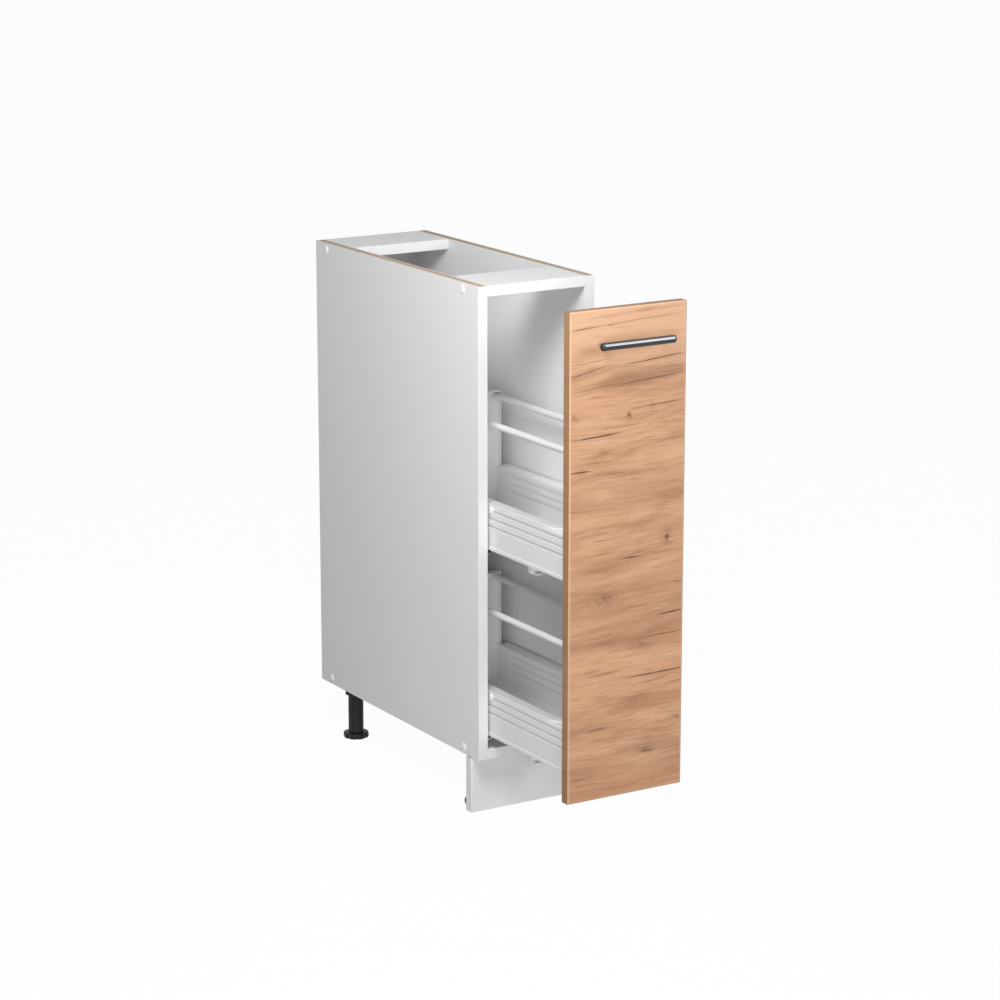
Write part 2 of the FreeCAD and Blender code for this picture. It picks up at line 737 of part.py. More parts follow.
# Rear upright: folded sheet with forward wings, a top wing and two tabs inside the hollow walls
upright_low = "inner_half - slide_web - runner_play"
upright_face = [("-(%s)" % upright_low, "plate_low"), (upright_low, "plate_low"), (upright_low, "plate_step"),
                ("ear_half", "plate_step"), ("ear_half", "side_height"), ("plate_half", "side_height"),
                ("plate_half", "wing_low"), ("-plate_half", "wing_low"), ("-plate_half", "side_height"),
                ("-ear_half", "side_height"), ("-ear_half", "plate_step"), ("-(%s)" % upright_low, "plate_step")]
upright_fold = [("-plate_half", "-wing"), ("plate - plate_half", "-wing"), ("plate - plate_half", "0"),
                ("plate_half - plate", "0"), ("plate_half - plate", "-wing"), ("plate_half", "-wing"),
                ("plate_half", "plate", "plate_bend"), ("-plate_half", "plate", "plate_bend")]
upright_spot = ("0", "tier_end", "tier_z")
face_sheet = extruded("upright_face", "y", upright_face, "plate", upright_spot)
fold_spot = ("0", "tier_end", "tier_z + wing_low")
fold_sheet = extruded("upright_fold", "z", upright_fold, "plate_top - wing_low", fold_spot)
top_sheet = block("upright_top", ("2 * plate_half - 2 * plate_bend", "top_wing + plate", "plate"),
                  ("plate_bend - plate_half", "tier_end - top_wing", "tier_z + plate_top - plate"))
tab_spot = ("slide_end - plate - inner_half", "tier_end - tab_length", "tier_z + plate_step")
tab_left = block("upright_tab", ("plate", "tab_length", "tab_height"), tab_spot)
tab_right = mirrored("upright_tab_twin", tab_left)
upright_solid = fuse("upright_solid", [face_sheet, fold_sheet, top_sheet, tab_left, tab_right])
rivet_start = ("-gallery_side", "tier_end", "tier_z + gallery_up")
rivet_hole = pin("rivet_hole", "rivet_dia + 2 * hole_play", "plate", rivet_start, "y")
rivet_holes = [rivet_hole, mirrored("rivet_hole_twin", rivet_hole)]
rear_upright = node(cut("rear_upright_lower", upright_solid, rivet_holes))
node(moved("rear_upright_upper", rear_upright, ("0", "0", "tier_pitch")))

# Front bracket: the same pressing turned round, screwed to the back of the door
bracket_blank = mirrored("bracket_blank", rear_upright)
bracket_blank.Normal = FreeCAD.Vector(0, 1, 0)
bind(bracket_blank, "Base.y", "door_back + (tier_length + plate) / 2")
bracket_rows = []
for side, sign in (("left", "-"), ("right", "")):
    for level in ("low", "high"):
        row_z = "tier_z + bracket_screw_" + level
        bracket_rows.append((sign + "bracket_screw_side", row_z, side + "_" + level))
bracket_holes = []
bracket_screws = []
bracket_bore = "bracket_screw_dia + 2 * hole_play"
bracket_length = "bracket_head + plate + bracket_screw_bite"
for row_x, row_z, tag in bracket_rows:
    hole_start = (row_x, "door_back", row_z)
    bracket_holes.append(pin("bracket_hole_" + tag, bracket_bore, "plate", hole_start, "y"))
    head_start = (row_x, "door_back + plate + bracket_head", row_z)
    bracket_screws.append(screw("bracket_screw_" + tag, "bracket_head_dia", "bracket_head",
                                "bracket_screw_dia", bracket_length, head_start, "-y"))
front_bracket = node(cut("front_bracket_lower", bracket_blank, bracket_holes))
node(moved("front_bracket_upper", front_bracket, ("0", "0", "tier_pitch")))
lower_screws = group("bracket_screws_lower", bracket_screws)
upper_screws = moved("bracket_screws_upper", lower_screws, ("0", "0", "tier_pitch"))
node(group("bracket_screws", [lower_screws, upper_screws]))

# Gallery rails: round bars with their ends riveted through the bracket and the upright
gallery_spot = ("-gallery_side", "door_back", "tier_z + gallery_up")
gallery_start = ("-gallery_side", "door_back + plate", "tier_z + gallery_up")
gallery_bar = rod("gallery_bar", "gallery_dia", "tier_length - plate", gallery_start, "y")
gallery_rivet = pin("gallery_rivet", "rivet_dia", "tier_length + plate", gallery_spot, "y")
gallery_left = fuse("gallery_rail_lower_left", [gallery_bar, gallery_rivet])
for piece in four_of("gallery_rail", gallery_left):
    node(piece)

# Door front, with pilot holes for the brackets and through holes for the handle
door_half = "(cab_width / 2 - door_reveal)"
door_board = doc.addObject("PartDesign::Body", "door_board")
door_pad = door_board.newObject("PartDesign::Pad", "door_pad")
door_outline = [("-" + door_half, "door_low"), (door_half, "door_low"), (door_half, "cab_height"),
                ("-" + door_half, "cab_height")]
door_pad.Profile = sketch_on(door_board, "door_outline", "XZ_Plane", door_outline)
bind(door_pad, "Length", "door_thick")
doc.recompute()
door_edge = door_board.newObject("PartDesign::Fillet", "door_edge")
depths = [face.CenterOfMass.y for face in door_pad.Shape.Faces]
door_edge.Base = (door_pad, ["Face%d" % (depths.index(min(depths)) + 1)])
bind(door_edge, "Radius", "door_round")
put(door_board, ("0", "door_back", "under"))
pilots = []
for row_x, row_z, tag in bracket_rows:
    start = (row_x, "door_back", row_z)
    pilots.append(pin("door_pilot_" + tag, bracket_bore, "bracket_screw_bite + hole_play", start, "-y"))
lower_pilots = group("door_pilots_lower", pilots)
door_cuts = [lower_pilots, moved("door_pilots_upper", lower_pilots, ("0", "0", "tier_pitch"))]
handle_bore = "handle_screw_dia + 2 * hole_play"
door_bore = pin("handle_bore", handle_bore, "door_thick", ("-post_pitch / 2", "door_back", "bar_z"), "-y")
door_cuts += [door_bore, mirrored("handle_bore_twin", door_bore)]
node(cut("door_front", door_board, door_cuts))

# Handle: a round bar on two posts, with screws through the door
bar_r = "bar_dia / 2"
bar = [("0", "0"), (bar_r + " - bar_bevel", "0"), (bar_r, "bar_bevel"), (bar_r, "bar_length - bar_bevel"),
       (bar_r + " - bar_bevel", "bar_length"), ("0", "bar_length")]
node(turned("handle_bar", bar, ("-bar_length / 2", "bar_y", "bar_z"), "x"))
post_spot = ("-post_pitch / 2", "door_face", "bar_z")
post_blank = stem("post_blank", "post_dia", "handle_reach", post_spot, "-y")
bar_seat = doc.addObject("Part::Cylinder", "bar_seat")
bind(bar_seat, "Radius", bar_r + " + hole_play")
bind(bar_seat, "Height", "bar_length")
put(bar_seat, ("-bar_length / 2", "bar_y", "bar_z"), "x")
post_bore = pin("post_bore", handle_bore, "handle_screw_bite + hole_play", post_spot, "-y")
post_left = cut("post_left", post_blank, [bar_seat, post_bore])
node(group("handle_posts", [post_left, mirrored("post_right", post_left)]))
handle_length = "handle_head + door_thick + handle_screw_bite"
handle_start = ("-post_pitch / 2", "door_back + handle_head", "bar_z")
handle_left = screw("handle_screw_left", "handle_head_dia", "handle_head", "handle_screw_dia", handle_length,
                    handle_start, "-y")
node(group("handle_screws", [handle_left, mirrored("handle_screw_right", handle_left)]))

# Bumpers between the door and the carcass
bumper_x = "-cab_width / 2 + board / 2"
bumpers = []
for level, row_z in (("low", "under + door_low + bumper_inset"), ("high", "cab_top - bumper_inset")):
    bumpers.append(stem("bumper_" + level, "bumper_dia", "bumper_thick", (bumper_x, "door_back", row_z), "y"))
bumpers_left = group("bumpers_left", bumpers)
node(group("door_bumpers", [bumpers_left, mirrored("bumpers_right", bumpers_left)]))

doc.recompute()
for thing in doc.Objects:
    if "Invalid" in thing.State or "Error" in thing.State:
        raise RuntimeError("failed: " + thing.Name)
for piece in nodes:
    if piece.Shape.isNull() or not piece.Shape.isValid() or not piece.Shape.Solids:
        raise RuntimeError("bad shape: " + piece.Name)

os.makedirs("parts", exist_ok=True)
for piece in nodes:
    piece.Label = piece.Name
    piece.Shape.exportStep("parts/%s.step" % piece.Label)
print(len(nodes), "pieces written")
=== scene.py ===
import math

import bmesh
import bpy
from bmesh import ops
from mathutils import Matrix, Quaternion, Vector


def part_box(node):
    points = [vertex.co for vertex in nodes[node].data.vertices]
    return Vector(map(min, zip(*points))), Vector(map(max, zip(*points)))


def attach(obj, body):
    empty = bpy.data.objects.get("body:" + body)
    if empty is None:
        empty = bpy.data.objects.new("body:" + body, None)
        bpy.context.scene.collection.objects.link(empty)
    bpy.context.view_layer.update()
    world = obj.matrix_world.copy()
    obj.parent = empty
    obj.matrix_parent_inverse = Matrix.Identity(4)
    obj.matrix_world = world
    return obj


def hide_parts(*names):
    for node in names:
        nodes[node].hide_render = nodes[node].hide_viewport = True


# Pull-out pantry cabinet. Lengths in the dictionaries are millimetres in the CAD frame,
# apart from those of the camera and the studio, which are metres.
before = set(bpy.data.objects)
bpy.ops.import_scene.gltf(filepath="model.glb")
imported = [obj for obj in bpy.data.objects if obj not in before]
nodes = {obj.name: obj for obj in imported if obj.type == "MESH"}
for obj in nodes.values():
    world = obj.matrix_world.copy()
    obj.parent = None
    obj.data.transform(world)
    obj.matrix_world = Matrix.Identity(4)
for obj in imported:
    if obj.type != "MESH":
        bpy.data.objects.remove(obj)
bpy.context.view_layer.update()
scene = bpy.context.scene
mm = 0.001
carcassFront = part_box("left_side_panel")[0].y / mm
doorFace, doorBack = (corner.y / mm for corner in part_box("door_front"))
tierBases = {"lower": 126.5, "upper": 414.5}  # undersides of the two tiers
hand = {"left": -1, "right": 1}
print("frame loaded,", len(nodes), "nodes, carcass front at", round(carcassFront, 3),
      "door back at", round(doorBack, 3))

photoCamera = {"place": (-2.42974, -4.00384, 1.60579), "turn": 31.3122, "tilt": 13.7854, "lens": 114.508,
               "sensor": 36, "near": 0.05, "far": 200}


def makeCamera():
    turn, tilt = math.radians(photoCamera["turn"]), math.radians(photoCamera["tilt"])
    sight = Vector((math.sin(turn) * math.cos(tilt), math.cos(turn) * math.cos(tilt), -math.sin(tilt)))
    data = bpy.data.cameras.new("photoCamera")
    data.lens, data.sensor_width = photoCamera["lens"], photoCamera["sensor"]
    data.clip_start, data.clip_end = photoCamera["near"], photoCamera["far"]
    cam = bpy.data.objects.new("photoCamera", data)
    scene.collection.objects.link(cam)
    cam.location = photoCamera["place"]
    cam.rotation_euler = sight.to_track_quat("-Z", "Y").to_euler()
    scene.camera = cam


makeCamera()
scene.view_settings.view_transform = "Standard"


# shader nodes: an input takes a value or another node's output
def fill(sockets, values):
    for name, value in values.items():
        if isinstance(value, bpy.types.NodeSocket):
            value.id_data.links.new(value, sockets[name])
        else:
            sockets[name].default_value = value


def addNode(kind, inputs, tree=None, **settings):  # the tree is that of its inputs, where none is given
    if tree is None:
        tree = next(value.id_data for value in inputs.values() if isinstance(value, bpy.types.NodeSocket))
    made = tree.nodes.new("ShaderNode" + kind)
    for name, value in settings.items():
        setattr(made, name, value)
    fill(made.inputs, inputs)
    return made


def calc(operation, *values):
    return addNode("Math", dict(enumerate(values)), operation=operation).outputs[0]


def vectorCalc(operation, *values):
    return addNode("VectorMath", dict(enumerate(values)), operation=operation).outputs[0]


def remap(value, low, high, toLow=0.0, toHigh=1.0, smooth=False):
    inputs = dict(enumerate((value, low, high, toLow, toHigh)))
    return addNode("MapRange", inputs, interpolation_type="SMOOTHSTEP" if smooth else "LINEAR").outputs[0]


def ramp(value, span):  # from 0 to 1 over a span in millimetres
    return remap(value, span[0] * mm, span[1] * mm)


def blendColour(share, first, second):
    first, second = ((*colour, 1) if isinstance(colour, tuple) else colour for colour in (first, second))
    return addNode("Mix", {0: share, 6: first, 7: second}, data_type="RGBA").outputs[2]


def stretched(vector, scale, shift=(0, 0, 0), spin=(0, 0, 0)):
    inputs = {"Vector": vector, "Location": shift, "Rotation": spin, "Scale": scale}
    return addNode("Mapping", inputs).outputs[0]


def noise(vector, scale, detail=2.0, rough=0.5, bend=0.0, shift=(0, 0, 0)):
    if isinstance(scale, tuple):  # a scale for each axis
        vector, scale = stretched(vector, scale, shift), 1.0
    inputs = {"Vector": vector, "Scale": scale, "Detail": detail, "Roughness": rough, "Distortion": bend}
    return addNode("TexNoise", inputs).outputs[0]


def axes(vector):  # a vector's X, Y and Z
    return addNode("SeparateXYZ", {0: vector}).outputs


def raised(vector, lift):
    return vectorCalc("ADD", vector, addNode("CombineXYZ", {"Z": lift}).outputs[0])


def srgb(red, green, blue):  # a colour as a picture shows it, as Blender's linear one
    return tuple((c / 255 / 12.92) if c < 10.3 else ((c / 255 + 0.055) / 1.055) ** 2.4
                 for c in (red, green, blue))


studio = {
    "floorHalf": 40.0, "fill": 0.12,
    "paper": {"Base Color": (0.42, 0.42, 0.42, 1), "Roughness": 0.9, "Specular IOR Level": 0.1},
    "shadowPaper": (0.95, 0.95, 0.95, 1), "floorWhite": 0.97,  # the paper as seen, and how white it is shown
    "lamps": {
        "keyLamp": {
            "place": (-0.74, -0.74, 1.62), "aim": (-0.02, -0.1, 0.5), "size": (0.6, 0.6), "power": 16.7},
        "sideLamp": {
            "place": (-1.7, -2.9, 0.70), "aim": (0, -0.1, 0.42), "size": (1.2, 1.2), "power": 41.6},
        "frontLamp": {
            "place": (1.50, -2.6, 1.55), "aim": (0, -0.25, 0.42), "size": (1.1, 0.85), "power": 26.4},
        "glintLamp": {  # soft strip that only polished pieces show
            "place": (0.875, -1.241, 1.788), "aim": (0, -0.38, 0.762), "size": (0.5, 1.3), "power": 18.0,
            "roll": -33.2, "mirrorOnly": True},
    },
}


def showWhite(tree, lit, white, end):  # camera, mirror and glass rays are shown the white one
    rays = addNode("LightPath", {}, tree).outputs
    seen = calc("MAXIMUM", rays["Is Camera Ray"], rays["Is Glossy Ray"])
    seen = calc("MAXIMUM", seen, rays["Is Transmission Ray"])
    mixed = addNode("MixShader", {0: seen, 1: lit.outputs[0], 2: white.outputs[0]})
    fill(tree.nodes[end].inputs, {"Surface": mixed.outputs[0]})


def makeFloor():
    bm = bmesh.new()
    ops.create_grid(bm, x_segments=1, y_segments=1, size=studio["floorHalf"])
    mesh = bpy.data.meshes.new("studioFloor")
    bm.to_mesh(mesh)
    bm.free()
    floor = bpy.data.objects.new("studioFloor", mesh)
    scene.collection.objects.link(floor)
    paper = bpy.data.materials.new("paperFloor")
    paper.use_nodes = True
    tree = paper.node_tree
    shader = tree.nodes["Principled BSDF"]
    fill(shader.inputs, studio["paper"])
    white = addNode("Emission", {"Strength": 1.0}, tree).outputs[0]
    shaded = addNode("BsdfDiffuse", {"Color": studio["shadowPaper"]}, tree).outputs[0]
    seen = addNode("MixShader", {0: studio["floorWhite"], 1: shaded, 2: white})
    showWhite(tree, shader, seen, "Material Output")
    mesh.materials.append(paper)


def makeWorld():  # a weak fill for the object, plain white behind it
    world = bpy.data.worlds.new("studioWorld")
    scene.world = world
    world.use_nodes = True
    tree = world.node_tree
    soft = tree.nodes["Background"]
    fill(soft.inputs, {"Color": (1, 1, 1, 1), "Strength": studio["fill"]})
    white = addNode("Background", {"Color": (1, 1, 1, 1), "Strength": 1.0}, tree)
    showWhite(tree, soft, white, "World Output")


def makeLamp(name, lamp):
    light = bpy.data.lights.new(name, "AREA")
    light.shape = "RECTANGLE"
    light.size, light.size_y = lamp["size"]
    light.energy = lamp["power"]
    obj = bpy.data.objects.new(name, light)
    scene.collection.objects.link(obj)
    obj.location = lamp["place"]
    facing = (Vector(lamp["aim"]) - obj.location).to_track_quat("-Z", "Y")
    roll = Quaternion((0, 0, 1), math.radians(lamp.get("roll", 0)))
    obj.rotation_euler = (facing @ roll).to_euler()
    obj.visible_diffuse = not lamp.get("mirrorOnly", False)


makeFloor()
makeWorld()
for lampName, lamp in studio["lamps"].items():
    makeLamp(lampName, lamp)
print("studio ready")

midNoise = (0.3, 0.7)  # most of a noise's values lie between these


def newGroup(name, values, results):  # a vector and some values go in
    group = bpy.data.node_groups.new(name, "ShaderNodeTree")
    kinds = {"Vector": "NodeSocketVector", "Color": "NodeSocketColor"}
    for way, labels in (("INPUT", ("Vector", *values)), ("OUTPUT", results)):
        for label in labels:
            kind = kinds.get(label, "NodeSocketFloat")
            group.interface.new_socket(name=label, in_out=way, socket_type=kind)
    return group, group.nodes.new("NodeGroupInput").outputs, group.nodes.new("NodeGroupOutput").inputs


def placeGroup(group, inputs):
    return addNode("Group", inputs, node_tree=group).outputs


def makeSkinGrain():  # fine dimples of paint, foil and moulded plastic, with slow patches of handling
    group, given, result = newGroup("skinGrain", ("Grain", "Patch"), ("Height", "Patches", "Specks"))
    vector, grain = given["Vector"], given["Grain"]
    coarse = noise(vector, calc("MULTIPLY", grain, 0.32), detail=3.0, rough=0.7)
    fill(result, {"Height": noise(vector, grain, rough=0.6), "Specks": remap(coarse, 0.35, 0.65),
                  "Patches": noise(vector, given["Patch"], detail=4.0, rough=0.6, bend=0.4)})
    return group


chipTones = {"dark": srgb(168, 148, 132), "pale": srgb(206, 188, 170), "flake": srgb(190, 171, 152),
             "faceDark": srgb(226, 212, 192), "facePale": srgb(242, 232, 214),
             "chipSize": (330, 260, 330), "flakeSize": (900, 380, 900)}


def makeChipCore():  # pressed wood chips, finer towards the two faces of the board
    group, given, result = newGroup("chipCore", ("Face Share",), ("Color", "Height"))
    chipPlace = stretched(given["Vector"], chipTones["chipSize"])
    chips = addNode("TexVoronoi", {"Vector": chipPlace, "Scale": 1.0, "Randomness": 1.0})
    tone = addNode("SeparateColor", {0: chips.outputs["Color"]}).outputs[0]
    flakes = noise(given["Vector"], chipTones["flakeSize"], detail=4.0, rough=0.7)
    core = blendColour(tone, chipTones["dark"], chipTones["pale"])
    core = blendColour(remap(flakes, 0.35, 0.7), core, chipTones["flake"])
    faceLayer = blendColour(remap(flakes, *midNoise), chipTones["faceDark"], chipTones["facePale"])
    fill(result, {"Color": blendColour(given["Face Share"], core, faceLayer), "Height": flakes})
    return group


def makeDrawnLines():  # long fine lines of drawn, rolled or brushed metal; the vector is already stretched
    group, given, result = newGroup("drawnLines", (), ("Lines", "Cloud"))
    fill(result, {"Lines": noise(given["Vector"], 1.0, detail=5.0, rough=0.65),
                  "Cloud": noise(given["Vector"], 0.06, detail=3.0, bend=0.5)})
    return group


def makeOakSplit():  # one dark drying crack along the grain, and the soft shade beside it
    group, given, result = newGroup("oakSplit", ("Along", "Up", "Reach", "Width", "Rise"), ("Mask", "Soft"))
    parts = axes(given["Vector"])
    along = calc("SUBTRACT", parts["X"], given["Along"])
    upwards = calc("SUBTRACT", parts["Z"], given["Up"])
    upwards = calc("SUBTRACT", upwards, calc("MULTIPLY", along, given["Rise"]))
    share = calc("ABSOLUTE", calc("DIVIDE", along, given["Reach"]))
    taper = calc("SUBTRACT", 1.0, calc("POWER", share, 2.2))
    off = calc("ABSOLUTE", calc("DIVIDE", upwards, given["Width"]))
    aside = calc("SUBTRACT", taper, calc("MULTIPLY", off, 0.2))
    fill(result, {"Mask": remap(calc("SUBTRACT", taper, off), 0.0, 0.8, smooth=True),
                  "Soft": remap(aside, 0.0, 1.0, smooth=True)})
    return group


def makeOakKnot():  # a knot's dark eye and the ringed halo of turned grain about it
    group, given, result = newGroup("oakKnot", ("Along", "Up", "Wide", "Tall"), ("Eye", "Halo"))
    parts = axes(given["Vector"])
    along = calc("DIVIDE", calc("SUBTRACT", parts["X"], given["Along"]), given["Wide"])
    upwards = calc("DIVIDE", calc("SUBTRACT", parts["Z"], given["Up"]), given["Tall"])
    reach = calc("SQRT", calc("ADD", *(calc("MULTIPLY", length, length) for length in (along, upwards))))
    rings = remap(calc("SINE", calc("MULTIPLY", reach, 20.0)), -1.0, 1.0, 0.45, 1.0)
    fill(result, {"Eye": remap(reach, 0.38, 0.1, smooth=True),
                  "Halo": calc("MULTIPLY", remap(reach, 1.0, 0.2, smooth=True), rings)})
    return group


grooveShape = {"rows": (59.8, 47.8, 35.8), "half": 2.7, "deep": 1.0, "tint": (0.30, 0.30, 0.31),
               "shadeSpan": (0.06, 0.7), "shadeEnd": 1.3}  # depths between which the shade grows, then ends


def makeGrooveShade():  # dull shade down in the moulded grooves of walls and trays
    group, given, result = newGroup("grooveShade", ("Face", "Inwards"), ("Mask",))
    parts = axes(given["Vector"])
    gaps = [calc("ABSOLUTE", calc("SUBTRACT", parts["Z"], (base + row) * mm))
            for base in tierBases.values() for row in grooveShape["rows"]]
    away = gaps[0]
    for gap in gaps[1:]:
        away = calc("MINIMUM", away, gap)
    deep = calc("SUBTRACT", given["Face"], calc("ABSOLUTE", parts["X"]))
    deep = calc("MULTIPLY", deep, given["Inwards"])
    inside = calc("MULTIPLY", calc("LESS_THAN", deep, grooveShape["shadeEnd"] * mm),
                  calc("LESS_THAN", away, grooveShape["half"] * mm))
    fill(result, {"Mask": calc("MULTIPLY", ramp(deep, grooveShape["shadeSpan"]), inside)})
    return group


skinGrain, chipCore, drawnLines = makeSkinGrain(), makeChipCore(), makeDrawnLines()
oakSplit, oakKnot, grooveShade = makeOakSplit(), makeOakKnot(), makeGrooveShade()
print("surface effects ready")


def newMaterial(name, constants):
    material = bpy.data.materials.new(name)
    material.use_nodes = True
    sockets = material.node_tree.nodes["Principled BSDF"].inputs
    fill(sockets, constants)
    return material, sockets, addNode("TexCoord", {}, material.node_tree).outputs["Object"]


def coat(sockets, colour, rough, height, finish):
    inputs = {"Height": height, "Strength": finish["bump"], "Distance": finish["depth"] * mm}
    fill(sockets, {"Base Color": colour, "Roughness": rough, "Normal": addNode("Bump", inputs).outputs[0]})


def roughen(value, finish):
    return remap(value, *midNoise, *finish["rough"])


def placeSkin(vector, finish):  # the grain and its colour
    skin = placeGroup(skinGrain, {"Vector": vector, "Grain": finish["grain"], "Patch": finish["patch"]})
    return skin, blendColour(skin["Patches"], finish["colour"], finish["shade"])


def skinMaterial(name, finish):  # painted, foiled and moulded surfaces
    material, sockets, vector = newMaterial(name, finish.get("fixed", {}))
    skin, colour = placeSkin(vector, finish)
    if "fleck" in finish:
        colour = blendColour(calc("MULTIPLY", skin["Specks"], finish["fleckShare"]), colour, finish["fleck"])
    if "groove" in finish:
        shade = placeGroup(grooveShade, {"Vector": vector, **finish["groove"]})["Mask"]
        colour = blendColour(calc("MULTIPLY", shade, finish["grooveShare"]), colour, grooveShape["tint"])
    coat(sockets, colour, roughen(skin["Patches"], finish), skin["Height"], finish)
    return material


skins = {
    "whiteCapPlastic": {
        "colour": (0.96, 0.96, 0.96), "shade": (0.93, 0.93, 0.93), "grain": 1600, "patch": 60,
        "rough": (0.30, 0.38), "bump": 0.10, "depth": 0.05},
    "blackLegPlastic": {
        "colour": (0.010, 0.010, 0.011), "shade": (0.018, 0.018, 0.019), "grain": 2200, "patch": 40,
        "rough": (0.36, 0.52), "bump": 0.25, "depth": 0.12,
        "fleck": (0.035, 0.035, 0.036), "fleckShare": 0.35, "fixed": {"Specular IOR Level": 0.2}},
    "carriageNylon": {
        "colour": (0.60, 0.61, 0.60), "shade": (0.53, 0.54, 0.52), "grain": 1500, "patch": 45,
        "rough": (0.42, 0.55), "bump": 0.15, "depth": 0.08},
    "powderCoat": {
        "colour": (0.83, 0.83, 0.835), "shade": (0.80, 0.80, 0.805), "grain": 1300, "patch": 16,
        "rough": (0.34, 0.42), "bump": 0.22, "depth": 0.10,
        "groove": {"Face": 80 * mm, "Inwards": 1.0}, "grooveShare": 0.40},
    "whiteTrayPlastic": {
        "colour": (0.84, 0.84, 0.84), "shade": (0.81, 0.81, 0.81), "grain": 1900, "patch": 22,
        "rough": (0.32, 0.42), "bump": 0.28, "depth": 0.10,
        "groove": {"Face": 60.5 * mm, "Inwards": -1.0}, "grooveShare": 0.24},
    "bumperGel": {
        "colour": (0.62, 0.63, 0.63), "shade": (0.55, 0.56, 0.56), "grain": 700, "patch": 90,
        "rough": (0.45, 0.60), "bump": 0.10, "depth": 0.05},
}
whiteCapPlastic, blackLegPlastic, carriageNylon, powderCoat, whiteTrayPlastic, bumperGel = (
    skinMaterial(name, finish) for name, finish in skins.items())

boardFinish = {
    "colour": (0.89, 0.89, 0.893), "shade": (0.87, 0.87, 0.875), "grain": 1000, "patch": 7,
    "rough": (0.36, 0.46), "bareRough": 0.35, "bump": 0.12, "depth": 0.06, "chipHeight": 6.0,
    "rawTop": 809.55, "rawSide": 84.3, "rawRear": carcassFront + 496.6,  # bare above, outside, behind these
    "boardMiddle": 92.0, "foil": 7.65, "faceLayer": (3.8, 5.4),  # from the middle of a side panel's thickness
}


def makeWhiteBoard():  # white melamine foil; the side panels' top and rear edges are bare chipboard
    finish = boardFinish
    material, sockets, vector = newMaterial("whiteBoard", {"Specular IOR Level": 0.25})
    skin, white = placeSkin(vector, finish)
    parts = axes(vector)
    side = calc("ABSOLUTE", parts["X"])
    onTop = calc("MULTIPLY", calc("GREATER_THAN", parts["Z"], finish["rawTop"] * mm),
                 calc("GREATER_THAN", side, finish["rawSide"] * mm))
    behind = calc("GREATER_THAN", parts["Y"], finish["rawRear"] * mm)
    fromMiddle = calc("ABSOLUTE", calc("SUBTRACT", side, finish["boardMiddle"] * mm))
    bare = calc("MULTIPLY", calc("MAXIMUM", onTop, behind),
                calc("LESS_THAN", fromMiddle, finish["foil"] * mm))
    chips = placeGroup(chipCore, {"Vector": vector, "Face Share": ramp(fromMiddle, finish["faceLayer"])})
    height = calc("MULTIPLY", bare, chips["Height"])
    height = calc("MULTIPLY_ADD", height, finish["chipHeight"], skin["Height"])
    rough = calc("MULTIPLY_ADD", bare, finish["bareRough"], roughen(skin["Patches"], finish))
    coat(sockets, blendColour(bare, white, chips["Color"]), rough, height, finish)
    return material


backFinish = {
    "colour": (0.80, 0.80, 0.80), "shade": (0.76, 0.76, 0.765), "grain": 1200, "patch": 8,
    "rough": (0.45, 0.72), "bump": 0.2, "depth": 0.1,  # rough: inside, outside
    "fibre": srgb(150, 112, 78), "fibreDark": srgb(120, 86, 58), "fibreLight": srgb(178, 142, 104),
    "fibreSize": (420, 420, 420), "lightShare": 0.5, "outerFace": carcassFront + 499.4,
}


def makeBackBoard():  # thin fibreboard: white lacquer inside, bare brown fibre outside
    finish = backFinish
    material, sockets, vector = newMaterial("backBoard", {})
    skin, white = placeSkin(vector, finish)
    fibres = noise(vector, finish["fibreSize"], detail=6.0, rough=0.75, bend=1.2)
    brown = blendColour(remap(fibres, *midNoise), finish["fibreDark"], finish["fibre"])
    patches = calc("MULTIPLY", skin["Patches"], finish["lightShare"])
    brown = blendColour(patches, brown, finish["fibreLight"])
    outside = calc("GREATER_THAN", axes(vector)["Y"], finish["outerFace"] * mm)
    coat(sockets, blendColour(outside, white, brown), remap(outside, 0.0, 1.0, *finish["rough"]),
         calc("MULTIPLY_ADD", outside, fibres, skin["Height"]), finish)
    return material


